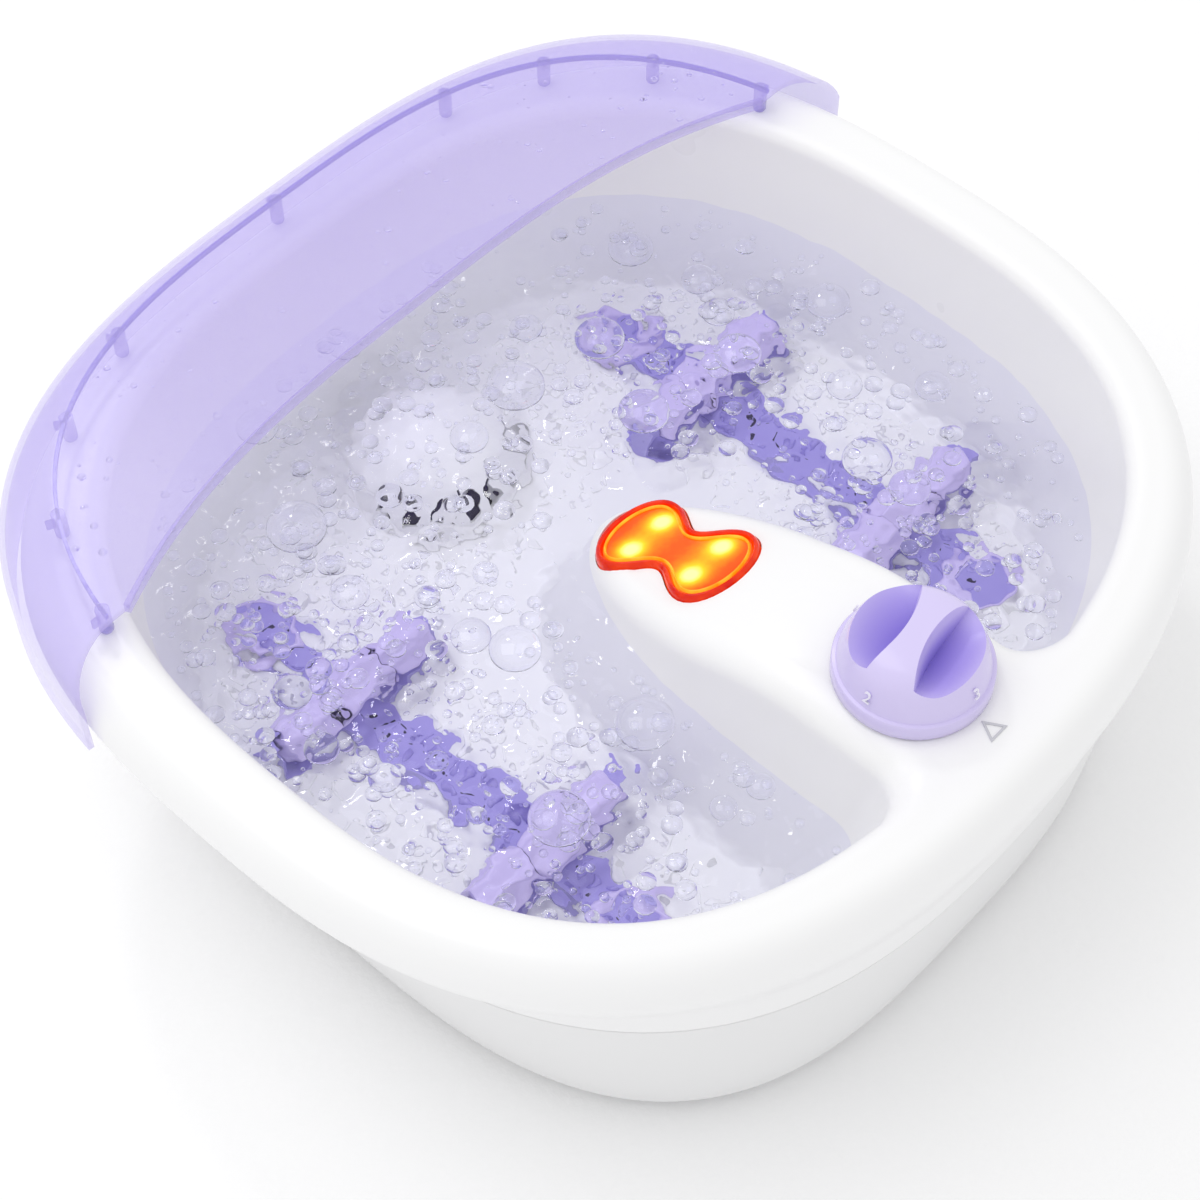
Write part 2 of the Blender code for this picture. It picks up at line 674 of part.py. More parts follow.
def knob_and_switch():
    axis = empty("knob_axis", (0, KNOB_Y, DECK_Z))
    profile = knob_dome() + [(KNOB_R, KNOB_SKIRT_H - 0.0005), (KNOB_R, RUN),
                             (SHAFT_R + GAP, RUN), (SHAFT_R + GAP, SHAFT_IN_KNOB + GAP),
                             (0.0, SHAFT_IN_KNOB + GAP)]
    knob = add_object("selector_knob", turned(profile, 32),
                      material("knob_lavender", LAVENDER, 0.3), parent=axis)
    tool = cutter("scoop_tool", merge([finger_scoop(sign) for sign in (-1, 1)]))
    tool.parent = axis
    boolean(knob, tool)
    deck_under = DECK_Z - WALL - RUN
    shaft_foot = deck_under - GAP - 0.004
    add_object("knob_shaft", rod(SHAFT_R, shaft_foot - DECK_Z, SHAFT_IN_KNOB),
               material("shaft_steel", STEEL, 0.35, 1.0), parent=axis)
    switch_z = shaft_foot - GAP - SWITCH_SIZE[2] / 2
    add_object("rotary_switch", block(SWITCH_SIZE, (0, 0, switch_z), SWITCH_EDGE),
               material("switch_black", DARK, 0.5), (0, KNOB_Y, 0))
    seal_z = deck_under - GAP
    seal = turned([(SHAFT_R + RUN, seal_z), (SHAFT_R + RUN, seal_z - SEAL_T),
                   (SEAL_R, seal_z - SEAL_T), (SEAL_R, seal_z)], 16)
    add_object("shaft_seal", seal, material("seal_rubber", (0.12, 0.12, 0.12), 0.8),
               (0, KNOB_Y, 0))


# ---------------------------------------------------------------- infrared lens

def lens_and_board():
    place = lens_frame()

    def put(name, bm, mat):
        bmesh.ops.transform(bm, matrix=place, verts=bm.verts)
        return add_object(name, bm, mat)

    top = LENS_PROUD
    put("infrared_lens", prism(lens_outline(), top - LENS_T, top),
        material("lens_red", (0.85, 0.08, 0.02), 0.1))
    board_top = top - BOARD_DROP
    board = put("infrared_board", prism(lens_outline(-BOARD_INSET, 24),
                                          board_top - BOARD_T, board_top),
                material("board_green", (0.05, 0.25, 0.12), 0.5))
    holes = []
    spots = [(0.0, sign * BOARD_SCREW_DY) for sign in (-1, 1)]
    for x, y in spots:
        holes.append(moved(rod(BOARD_SCREW_R + GAP, board_top - 2 * BOARD_T,
                               board_top + BOARD_T, 8), (x, y, 0)))
    tool = merge(holes)
    bmesh.ops.transform(tool, matrix=place, verts=tool.verts)
    boolean(board, cutter("board_tool", tool))
    steel = material("screw_steel", STEEL, 0.3, 1.0)
    head_z = board_top + GAP
    head_top, tip = head_z + BOARD_SCREW_HEAD, board_top - BOARD_SCREW_LONG
    profile = [(0.0, head_top), (SCREW_R, head_top), (SCREW_R, head_z),
               (BOARD_SCREW_R, head_z), (BOARD_SCREW_R, tip), (0.0, tip)]
    for number, (x, y) in enumerate(spots, 1):
        put("board_screw_%d" % number, moved(turned(profile, 10), (x, y, 0)), steel)
    led_mat = material("led_clear", (1.0, 0.6, 0.3), 0.2)
    number = 0
    for sx in (-1, 1):
        for sy in (-1, 1):
            number += 1
            led = turned([(0.0, board_top + GAP), (LED_R, board_top + GAP),
                          (LED_R, board_top + LED_H * 0.6), (LED_R * 0.6, board_top + LED_H),
                          (0.0, board_top + LED_H)], 10)
            put("infrared_led_%d" % number, moved(led, (sx * LED_X, sy * LED_DY, 0)), led_mat)


# ---------------------------------------------------------------- strips and rollers

def strip_outline(steps=6):
    points = []
    for end_y, first in ((STRIP_Y0, math.pi), (STRIP_Y1, 0.0)):
        centre_y = end_y + (STRIP_HALF if first else -STRIP_HALF)
        for i in range(steps + 1):
            a = first + math.pi * i / steps
            points.append((STRIP_HALF * math.cos(a), centre_y + STRIP_HALF * math.sin(a)))
    return points


def roller_profile():
    """Half section of a roller: a row of rounded beads round a bore."""
    steps = 5
    width = 2 * ROLLER_HALF / ROLLER_BEADS
    points = []
    for bead in range(ROLLER_BEADS):
        for i in range(steps + (bead == ROLLER_BEADS - 1)):
            a = math.pi * i / steps
            h = -ROLLER_HALF + width * (bead + 0.5 - 0.5 * math.cos(a))
            swell = math.sin(a) ** 0.6 if 0 < i < steps else 0.0
            points.append((ROLLER_R * lerp(ROLLER_NECK, 1.0, swell), h))
    bore = AXLE_R + RUN
    return points + [(bore, ROLLER_HALF), (bore, -ROLLER_HALF)]


def strip_and_rollers(side, sign):
    base_z = FLOOR_Z + GAP
    axle_z = base_z + STRIP_H + ROLLER_Z_OVER_STRIP
    lavender = material("strip_lavender", LAVENDER, 0.35)
    strip = add_object("massage_strip_" + side, prism(strip_outline(), base_z, base_z + STRIP_H),
                       lavender, (sign * STRIP_X, 0, 0))
    post_x = ROLLER_HALF + RUN + POST_T / 2
    adds, cuts = [], []
    for y in ROLLER_Y:
        arm = 2 * (post_x + POST_T / 2)
        adds.append(block((arm, 2 * ARM_HALF, STRIP_H - 0.001), (0, y, base_z + STRIP_H / 2 - 0.0005)))
        for side_x in (-1, 1):
            post_h = ROLLER_Z_OVER_STRIP + AXLE_R + 0.003 + STRIP_H / 2
            adds.append(block((POST_T, 2 * POST_HALF, post_h),
                              (side_x * post_x, y, base_z + STRIP_H / 2 + post_h / 2)))
            hole = rod(AXLE_R + GAP, -0.01, 0.01, 10, "X")
            cuts.append(moved(hole, (side_x * post_x, y, axle_z)))
    adds.append(moved(rod(NIPPLE_R, FLOOR_Z - WALL - NIPPLE_DROP, base_z + STRIP_H / 2, 10),
                      (0, NIPPLE_Y, 0)))
    for number, add in enumerate(adds):
        tool = cutter("strip_tool_%s_%d" % (side, number), add, (sign * STRIP_X, 0, 0))
        boolean(strip, tool, "UNION")
    boolean(strip, cutter("axle_tool_" + side, merge(cuts), (sign * STRIP_X, 0, 0)))
    steel = material("axle_steel", STEEL, 0.3, 1.0)
    roller_mat = material("roller_lavender", LAVENDER, 0.3)
    for end, y in zip(("toe", "heel"), ROLLER_Y):
        place = (sign * STRIP_X, y, axle_z)
        add_object("roller_%s_%s" % (side, end), turned(roller_profile(), 12, "X"),
                   roller_mat, place)
        reach = post_x + POST_T / 2
        add_object("axle_%s_%s" % (side, end), rod(AXLE_R, -reach, reach, 10, "X"), steel, place)


# ---------------------------------------------------------------- toe dome

def toe_dome():
    base_z = FLOOR_Z + GAP
    steps = 5
    outer = [(DOME_R + DOME_FLANGE, base_z), (DOME_R + DOME_FLANGE, base_z + 0.002)]
    for i in range(steps + 1):
        a = 0.5 * math.pi * i / steps
        outer.append((DOME_R * math.cos(a) if i < steps else 0.0,
                      base_z + 0.002 + (DOME_H - 0.002) * math.sin(a)))
    inner = []
    for i in range(steps, -1, -1):
        a = 0.5 * math.pi * i / steps
        inner.append(((DOME_R - WALL) * math.cos(a) if i < steps else 0.0,
                      base_z + (DOME_H - WALL) * math.sin(a)))
    dome = add_object("toe_dome", turned(outer + inner, 28),
                      material("dome_white", WHITE, 0.32), (0, DOME_Y, 0))
    slots = []
    for i in range(SLOT_COUNT):
        angle = math.pi + math.pi * (i + 0.5) / SLOT_COUNT
        slot = block((0.022, SLOT_W, SLOT_Z1 - SLOT_Z0),
                     (DOME_R, 0, base_z + (SLOT_Z0 + SLOT_Z1) / 2))
        bmesh.ops.rotate(slot, verts=slot.verts, matrix=Matrix.Rotation(angle, 3, "Z"))
        slots.append(slot)
    boolean(dome, cutter("slot_tool", merge(slots), (0, DOME_Y, 0)))


# ---------------------------------------------------------------- inside parts

def hose(name, points, mat):
    curve = bpy.data.curves.new(name, "CURVE")
    curve.dimensions = "3D"
    curve.bevel_depth = HOSE_R
    curve.bevel_resolution = 1
    curve.use_fill_caps = True
    spline = curve.splines.new("POLY")
    spline.points.add(len(points) - 1)
    for point, place in zip(spline.points, points):
        point.co = (*place, 1.0)
    obj = bpy.data.objects.new(name, curve)
    bpy.context.collection.objects.link(obj)
    curve.materials.append(mat)


def inside_parts():
    black = material("casing_black", DARK, 0.5)
    floor_under = FLOOR_Z - WALL
    pan_top = FOOT_H + WALL
    pump_z = pan_top + GAP + PUMP_SIZE[2] / 2
    add_object("air_pump", block(PUMP_SIZE, (0, 0, 0), 0.002), black, (0, PUMP_Y, pump_z))
    rubber = material("hose_rubber", (0.2, 0.2, 0.2), 0.7)
    nipple_foot = floor_under - NIPPLE_DROP - GAP
    for side, sign in (("left", -1), ("right", 1)):
        start = Vector((sign * (PUMP_SIZE[0] / 2 + GAP), PUMP_Y, pump_z))
        end = Vector((sign * STRIP_X, NIPPLE_Y, nipple_foot))
        rise = end - Vector((0, 0, 0.004))
        control = [start, Vector((end.x, start.y, pump_z)), Vector((end.x, end.y, pump_z - 0.004)),
                   rise]
        path = []
        steps = 14
        for i in range(steps + 1):
            t = i / steps
            a, b, c, d = control
            path.append(a * (1 - t) ** 3 + b * 3 * t * (1 - t) ** 2
                        + c * 3 * t * t * (1 - t) + d * t ** 3)
        path.append(end)
        hose("air_hose_" + side, path, rubber)
    heater_z = floor_under - GAP - HEATER_SIZE[2] / 2
    add_object("heater_plate", block(HEATER_SIZE, (0, 0, 0), 0.001),
               material("heater_alloy", STEEL, 0.4, 1.0), (0, HEATER_Y, heater_z))
    stat_top = heater_z - HEATER_SIZE[2] / 2 - GAP
    add_object("thermostat", rod(THERMOSTAT_R, stat_top - THERMOSTAT_H, stat_top, 16), black,
               (0, HEATER_Y, 0))
    motor_z = pan_top + 0.002 + GAP + MOTOR_R
    motor_axis = empty("motor_axis", (0, MOTOR_Y, motor_z))
    shaft = 0.0012
    motor = turned([(0.0, -MOTOR_L / 2), (MOTOR_R, -MOTOR_L / 2), (MOTOR_R, MOTOR_L / 2),
                    (shaft, MOTOR_L / 2), (shaft, MOTOR_L / 2 + WEIGHT_T), (0.0, MOTOR_L / 2 + WEIGHT_T)],
                   16, "X")
    add_object("vibration_motor", motor, material("motor_steel", STEEL, 0.35, 1.0),
               parent=motor_axis)
    half = 8
    bore = shaft + GAP
    outline = [(WEIGHT_R * math.cos(math.pi * i / half), -WEIGHT_R * math.sin(math.pi * i / half))
               for i in range(half + 1)]
    outline += [(-0.003, 0.003), (0.003, 0.003)]
    weight = prism(outline, MOTOR_L / 2 + RUN, MOTOR_L / 2 + WEIGHT_T)
    bmesh.ops.rotate(weight, verts=weight.verts, matrix=Matrix.Rotation(math.pi / 2, 3, "Y"))
    weight_obj = add_object("eccentric_weight", weight,
                            material("weight_brass", (0.7, 0.5, 0.25), 0.35, 1.0),
                            parent=motor_axis)
    hole = cutter("weight_tool", rod(bore, 0.0, MOTOR_L, 10, "X"))
    hole.parent = motor_axis
    boolean(weight_obj, hole)
    bracket = block((MOTOR_L - 0.004, 2 * MOTOR_R + 0.008, 0.002), (0, 0, pan_top + GAP / 2 + 0.001))
    add_object("motor_bracket", bracket, material("bracket_zinc", STEEL, 0.45, 1.0),
               (0, MOTOR_Y, 0))
    add_object("control_board", block(CONTROL_SIZE), material("board_green", (0.05, 0.25, 0.12), 0.5),
               (0, CONTROL_Y, CONTROL_Z))
    gland_y = body_sizes(GLAND_Z)[2]
    profile = [(0.0025, -WALL - 0.004), (GLAND_R, -WALL - 0.004), (GLAND_R, 0.003),
               (GLAND_R * 0.7, GLAND_LEN - 0.004), (0.0025, GLAND_LEN - 0.004)]
    add_object("cord_gland", turned(profile, 14, "Y"), rubber, (GLAND_X, gland_y, GLAND_Z))


for old in list(bpy.data.objects):
    bpy.data.objects.remove(old, do_unlink=True)

tub_shell()
base_pan()
feet_and_screws()
splash_guard()
knob_and_switch()
lens_and_board()
strip_and_rollers("left", -1)
strip_and_rollers("right", 1)
toe_dome()
inside_parts()
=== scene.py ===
"""Foot spa basin, its looks.

A white moulded tub on a base pan, filled with bubbling water, with a translucent lavender
splash guard, a selector knob, a glowing infrared lens, massage strips with rollers and a
slotted toe dome.  Units are metres, +Z is up, +Y points to the toe end.
"""
import math
import random

import bmesh
import bpy
from mathutils import Matrix, Vector, noise


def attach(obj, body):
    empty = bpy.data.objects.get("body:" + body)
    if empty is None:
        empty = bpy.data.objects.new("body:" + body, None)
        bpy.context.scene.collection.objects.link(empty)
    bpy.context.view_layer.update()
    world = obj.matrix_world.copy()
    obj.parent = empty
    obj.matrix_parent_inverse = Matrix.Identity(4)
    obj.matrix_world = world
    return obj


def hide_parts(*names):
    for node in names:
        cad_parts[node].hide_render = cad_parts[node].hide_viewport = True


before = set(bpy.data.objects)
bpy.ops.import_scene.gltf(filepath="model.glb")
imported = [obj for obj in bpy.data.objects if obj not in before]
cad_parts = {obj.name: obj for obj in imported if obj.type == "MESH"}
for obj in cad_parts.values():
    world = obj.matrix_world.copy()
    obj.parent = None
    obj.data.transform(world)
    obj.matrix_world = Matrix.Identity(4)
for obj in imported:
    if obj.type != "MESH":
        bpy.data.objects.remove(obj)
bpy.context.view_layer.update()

# ------------------------------------------------------------------ studio
# A plain pale sweep under soft light: a white surround, one large key light from the
# toe end on the left and a small one that gives the wet parts their sharp highlights.

CAMERA_TURN = math.radians(47.56)
CAMERA_RISE = math.radians(54.26)
CAMERA_AIM = Vector((-0.0549, -0.0396, 0.1485))
CAMERA_DISTANCE = 0.8667
CAMERA_LENS = 78.0
FLOOR_REACH = 4.0
FLOOR_COLOUR = (0.97, 0.97, 0.975)
SURROUND = 0.88
LIGHTS = (("key_light", (-0.45, 0.55, 1.70), 1.20, 6.0),
          ("window_light", (0.30, 0.95, 1.30), 0.16, 1.6))


class Value:
    """One shader socket that can be used in sums."""

    def __init__(self, tree, socket):
        self.tree, self.socket = tree, socket

    def math(self, operation, *others):
        node = self.tree.nodes.new("ShaderNodeMath")
        node.operation = operation
        for slot, value in zip(node.inputs, (self, *others)):
            if isinstance(value, Value):
                self.tree.links.new(value.socket, slot)
            else:
                slot.default_value = value
        return Value(self.tree, node.outputs[0])

    def __add__(self, other):
        return self.math("ADD", other)

    def __mul__(self, other):
        return self.math("MULTIPLY", other)

    def __sub__(self, other):
        return self.math("SUBTRACT", other)

    def __rsub__(self, other):
        return self * -1.0 + other

    def __truediv__(self, other):
        return self.math("DIVIDE", other)

    def __rtruediv__(self, other):
        return self.math("POWER", -1.0) * other

    def __pow__(self, other):
        return self.math("POWER", other)

    __radd__ = __add__
    __rmul__ = __mul__


class Finish:
    """A material with its Principled shader and short ways to add nodes."""

    def __init__(self, name, colour, rough, **rest):
        self.material = bpy.data.materials.new(name)
        self.material.use_nodes = True
        self.tree = self.material.node_tree
        self.shader = self.tree.nodes["Principled BSDF"]
        self.output = self.tree.nodes["Material Output"]
        self.place = self.node("TexCoord", output="Object")
        self.set(Base_Color=colour, Roughness=rough, **rest)

    def node(self, kind, settings=(), sockets=(), output=0):
        node = self.tree.nodes.new("ShaderNode" + kind)
        for name, value in dict(settings).items():
            setattr(node, name, value)
        self.fill(node, sockets)
        return Value(self.tree, node.outputs[output])

    def fill(self, node, sockets):
        for name, value in dict(sockets).items():
            slot = node.inputs[name]
            if isinstance(value, Value):
                self.tree.links.new(value.socket, slot)
            elif hasattr(slot.default_value, "__len__") and len(slot.default_value) == 4:
                slot.default_value = (*value[:3], 1.0)
            else:
                slot.default_value = value

    def set(self, **sockets):
        self.fill(self.shader, {k.replace("_", " "): v for k, v in sockets.items()})

    def noise(self, scale, detail=2.0, rough=0.5, output="Fac"):
        return self.node("TexNoise", sockets={"Vector": self.place, "Scale": scale,
                                              "Detail": detail, "Roughness": rough},
                         output=output)

    def ramp(self, factor, stops):
        node = self.tree.nodes.new("ShaderNodeValToRGB")
        while len(node.color_ramp.elements) < len(stops):
            node.color_ramp.elements.new(1.0)
        for element, (at, colour) in zip(node.color_ramp.elements, stops):
            element.position = at
            element.color = (*colour, 1.0)
        self.fill(node, {"Fac": factor})
        return Value(self.tree, node.outputs[0])

    def tint(self, factor, first, second):
        return self.node("Mix", {"data_type": "RGBA"}, {0: factor, 6: first, 7: second}, 2)

    def bump(self, height, distance, strength=1.0):
        self.set(Normal=self.node("Bump", sockets={"Height": height, "Distance": distance,
                                                   "Strength": strength}))


def as_object(name, bm, finish=None):
    """Turn a bmesh into an object at the origin with smooth faces and crisp edges."""
    mesh = bpy.data.meshes.new(name)
    bm.to_mesh(mesh)
    bm.free()
    mesh.shade_smooth()
    mesh.set_sharp_from_angle(angle=math.radians(38))
    obj = bpy.data.objects.new(name, mesh)
    bpy.context.collection.objects.link(obj)
    if finish:
        mesh.materials.append(finish.material)
    return obj


def made(name, bm, finish, body="tub", stands_for=()):
    """A finished piece: it rides on its body and may stand for CAD nodes."""
    obj = as_object(name, bm, finish)
    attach(obj, body)
    if stands_for:
        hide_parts(*stands_for)
    return obj


right = Vector((math.cos(CAMERA_TURN), -math.sin(CAMERA_TURN), 0.0))
away = Vector((-math.sin(CAMERA_TURN) * math.cos(CAMERA_RISE),
               -math.cos(CAMERA_TURN) * math.cos(CAMERA_RISE), math.sin(CAMERA_RISE)))
camera = bpy.data.objects.new("camera", bpy.data.cameras.new("camera"))
bpy.context.collection.objects.link(camera)
camera.data.lens = CAMERA_LENS
camera.location = CAMERA_AIM + away * CAMERA_DISTANCE
camera.rotation_euler = Matrix((right, away.cross(right), away)).transposed().to_euler()
bpy.context.scene.camera = camera

world = bpy.data.worlds.new("surround")
world.use_nodes = True
world.node_tree.nodes["Background"].inputs[0].default_value = (1.0, 1.0, 1.0, 1.0)
world.node_tree.nodes["Background"].inputs[1].default_value = SURROUND
bpy.context.scene.world = world
bpy.context.scene.view_settings.view_transform = "Standard"
for name, place, size, power in LIGHTS:
    lamp = bpy.data.lights.new(name, "AREA")
    lamp.size, lamp.energy = size, power
    light = bpy.data.objects.new(name, lamp)
    light.location = place
    light.rotation_euler = (-Vector(place)).to_track_quat("-Z", "Y").to_euler()
    bpy.context.collection.objects.link(light)

paper = Finish("sweep_paper", FLOOR_COLOUR, 0.9)
paper.bump(paper.noise(300.0), 0.0002)
bm = bmesh.new()
bmesh.ops.create_grid(bm, x_segments=2, y_segments=2, size=FLOOR_REACH)
bmesh.ops.translate(bm, vec=(0.0, 0.0, -0.0002), verts=bm.verts)
as_object("studio_floor", bm, paper)

# ------------------------------------------------------------------ tub shell
# One injection moulding in glossy white plastic, 2.5 mm thick: outer wall, rolled rim,
# two foot wells and the console ridge between them.  The window under the lens and the
# hole for the knob shaft are cut through it.

WALL = 0.0025
RIM_HALF_WIDTH, RIM_FRONT, RIM_BACK, RIM_Z = 0.197, 0.187, 0.184, 0.136
RIM_ROLL, RIM_ROLL_DROP = 0.012, 0.016
RIM_POWER_FRONT, RIM_POWER_BACK = 2.45, 2.9
RIM_LAND_SIDE, RIM_LAND_FRONT, RIM_LAND_BACK = 0.028, 0.027, 0.022
OVERHANG_SIDE, OVERHANG_FRONT, OVERHANG_BACK = 0.020, 0.007, 0.011
FLARE_DROP = 0.034
BASE_HALF_WIDTH, BASE_FRONT, BASE_BACK, BASE_POWER = 0.155, 0.169, 0.160, 3.1
SEAM_Z = 0.075
FLOOR_Z = 0.032
WELL_POWER, WELL_SHOULDER, WELL_LEAN = 2.65, 0.007, 0.0154
WELL_FILLET, WELL_CORNER = 0.008, 0.017
RIDGE_HALF, RIDGE_NOSE, RIDGE_STRAIGHT_Y, RIDGE_SHOULDER = 0.035, 0.010, -0.066, 0.013
RIDGE_SPREAD = 0.019
DECK_Z = 0.1356
CREST_START, CREST_END, CREST_DROP, CREST_CROWN = -0.112, 0.022, 0.036, 0.0035
KNOB_Y, KNOB_R, SHAFT_HOLE_R = -0.130, 0.0275, 0.0036
LENS_Y, LENS_HALF_LENGTH, LENS_WAIST, LENS_STRETCH = -0.0265, 0.0325, 0.0070, 1.58
WINDOW_GROW = 0.0003
# points along half the outline: round the ridge nose, the inner corner, the outer wall
NOSE_STEPS, STRAIGHT_STEPS, CORNER_STEPS, WALL_STEPS = 26, 14, 14, 64
NOTCH = NOSE_STEPS + STRAIGHT_STEPS + CORNER_STEPS
COLUMNS = NOTCH + WALL_STEPS + 1


def lerp(a, b, t):
    return a + (b - a) * t


def smooth(t):
    t = min(max(t, 0.0), 1.0)
    return t * t * (3.0 - 2.0 * t)


def steps(count, first=1):
    return [i / count for i in range(first, count + 1)]


def oval(half_x, front, back, power_front, power_back, angle):
    """Superellipse point; the angle runs from -Y (0) over +X to +Y (pi)."""
    s, c = math.sin(angle), math.cos(angle)
    power, reach = (power_front, front) if c > 0 else (power_back, back)
    return (half_x * math.copysign(abs(s) ** (2 / power), s),
            -reach * math.copysign(abs(c) ** (2 / power), c))


def front_y(half_x, front, power, x):
    return -front * (1.0 - (x / half_x) ** power) ** (1.0 / power)


def well_half(inset):
    """Right half of the U-shaped well outline, from the ridge nose to the toe end."""
    width, nose = RIDGE_HALF + inset, RIDGE_NOSE + inset
    side = RIM_HALF_WIDTH - RIM_LAND_SIDE - inset
    front, back = RIM_FRONT - RIM_LAND_FRONT - inset, RIM_BACK - RIM_LAND_BACK - inset
    points = []
    for i in range(NOSE_STEPS + 1):
        t = 0.5 * math.pi * i / NOSE_STEPS
        points.append((width * math.sin(t),
                       RIDGE_STRAIGHT_Y + (nose - RIDGE_STRAIGHT_Y) * math.cos(t)))
    corner_x = width + WELL_CORNER
    corner_y = front_y(side, front, WELL_POWER, corner_x)
    for t in steps(STRAIGHT_STEPS)[:-1]:
        points.append((width, lerp(RIDGE_STRAIGHT_Y, corner_y + WELL_CORNER, t)))
    for i in range(CORNER_STEPS + 1):
        t = 0.5 * math.pi * i / CORNER_STEPS
        points.append((width + WELL_CORNER * (1 - math.cos(t)),
                       corner_y + WELL_CORNER * (1 - math.sin(t))))
    start = math.asin((corner_x / side) ** (WELL_POWER / 2))
    for t in steps(WALL_STEPS):
        points.append(oval(side, front, back, WELL_POWER, WELL_POWER,
                           lerp(start, math.pi, t)))
    return points


def outer_half(half_x, front, back, power_front, power_back):
    """Outer outline with one point for each point of the well outline."""
    inner = well_half(0.0)
    run = [0.0]
    for (x0, y0), (x1, y1) in zip(inner, inner[1:NOTCH + 1]):
        run.append(run[-1] + math.hypot(x1 - x0, y1 - y0))
    side = RIM_HALF_WIDTH - RIM_LAND_SIDE
    start = math.asin((inner[NOTCH][0] / side) ** (WELL_POWER / 2))
    edge_x = half_x * math.sin(start) ** (2 / power_front)
    points = []
    turn = run[-1 - CORNER_STEPS]
    for length in run:
        x = RIDGE_SPREAD * min(length / turn, 1.0)
        x = lerp(x, edge_x, max(length - turn, 0.0) / (run[-1] - turn))
        points.append((x, front_y(half_x, front, power_front, x)))
    for t in steps(WALL_STEPS):
        points.append(oval(half_x, front, back, power_front, power_back,
                           lerp(start, math.pi, t)))
    return points


def ring(half, heights):
    """Close a half outline over the YZ plane and give each point its height."""
    side = [(x, y, z) for (x, y), z in zip(half, heights)]
    return side + [(-x, y, z) for x, y, z in reversed(side[1:-1])]


def crest(y):
    return DECK_Z - CREST_DROP * smooth((y - CREST_START) / (CREST_END - CREST_START))


def ridge_share(index):
    """1 along the ridge, 0 along the rim, blended over the well corner."""
    return 1.0 - smooth((index - NOSE_STEPS - STRAIGHT_STEPS) / CORNER_STEPS)


def body_sizes(z):
    """Half sizes and powers of the outer wall at a height under the rim flare."""
    t = z / (RIM_Z - RIM_ROLL_DROP - FLARE_DROP)
    return (lerp(BASE_HALF_WIDTH, RIM_HALF_WIDTH - OVERHANG_SIDE, t),
            lerp(BASE_FRONT, RIM_FRONT - OVERHANG_FRONT, t),
            lerp(BASE_BACK, RIM_BACK - OVERHANG_BACK, t),
            lerp(BASE_POWER, RIM_POWER_FRONT, t), lerp(BASE_POWER, RIM_POWER_BACK, t))


def start_ring(bm, points):
    """A closed ring of vertices laid on an outline."""
    bmesh.ops.create_circle(bm, segments=len(points), radius=1.0)
    bm.verts.ensure_lookup_table()
    verts = bm.verts[-len(points):]
    for vert, point in zip(verts, points):
        vert.co = point
    return verts


def carry(bm, row, points, closed=True):
    """Extrude a row of vertices and set it down on the next outline."""
    pairs = list(zip(row, row[1:])) + ([(row[-1], row[0])] if closed else [])
    made_now = bmesh.ops.extrude_edge_only(bm, edges=[bm.edges.get(p) for p in pairs])
    fresh = {v for v in made_now["geom"] if isinstance(v, bmesh.types.BMVert)}
    follow = []
    for old, point in zip(row, points):
        new = next(v for v in (e.other_vert(old) for e in old.link_edges) if v in fresh)
        new.co = point
        follow.append(new)
    return follow


def fill(bm, row):
    """Close a ring with one face."""
    edges = [bm.edges.get((a, b)) for a, b in zip(row, row[1:] + row[:1])]
    return bmesh.ops.contextual_create(bm, geom=edges)["faces"]


def skinned(rings, first=False, last=False, closed=True):
    """Carry a row over a list of outlines, and close the two ends if asked."""
    bm = bmesh.new()
    if closed:
        row = start_ring(bm, rings[0])
    else:
        row = [bm.verts.new(p) for p in rings[0]]
        for a, b in zip(row, row[1:]):
            bm.edges.new((a, b))
    if first:
        fill(bm, row)
    for points in rings[1:]:
        row = carry(bm, row, points, closed)
    if last:
        fill(bm, row)
    bmesh.ops.recalc_face_normals(bm, faces=bm.faces)
    return bm


def looped(rings):
    """Skin a run of rings and join the last one to the first."""
    bm = bmesh.new()
    first = row = start_ring(bm, rings[0])
    for points in rings[1:]:
        row = carry(bm, row, points)
    ends = [bm.edges.get((a, b)) for line in (row, first)
            for a, b in zip(line, line[1:] + line[:1])]
    bmesh.ops.bridge_loops(bm, edges=ends)
    bmesh.ops.recalc_face_normals(bm, faces=bm.faces)
    return bm


def joined(parts):
    """Several meshes as one bmesh."""
    whole = bmesh.new()
    for part in parts:
        mesh = bpy.data.meshes.new("part")
        part.to_mesh(mesh)
        part.free()
        whole.from_mesh(mesh)
        bpy.data.meshes.remove(mesh)
    return whole


def settle(obj, *tools):
    """Work out an object's modifiers into its mesh and drop the tools they used."""
    bpy.context.view_layer.update()
    result = bpy.data.meshes.new_from_object(
        obj.evaluated_get(bpy.context.evaluated_depsgraph_get()))
    result.set_sharp_from_angle(angle=math.radians(38))
    obj.modifiers.clear()
    old, obj.data = obj.data, result
    bpy.data.meshes.remove(old)
    for tool in tools:
        bpy.data.objects.remove(tool)


def cut(obj, bm, operation="DIFFERENCE"):
    tool = as_object("tool", bm)
    mod = obj.modifiers.new("Cut", "BOOLEAN")
    mod.operation, mod.solver, mod.object = operation, "EXACT", tool
    return tool


def thicken(obj, thickness):
    mod = obj.modifiers.new("Wall", "SOLIDIFY")
    mod.thickness, mod.offset = thickness, -1.0


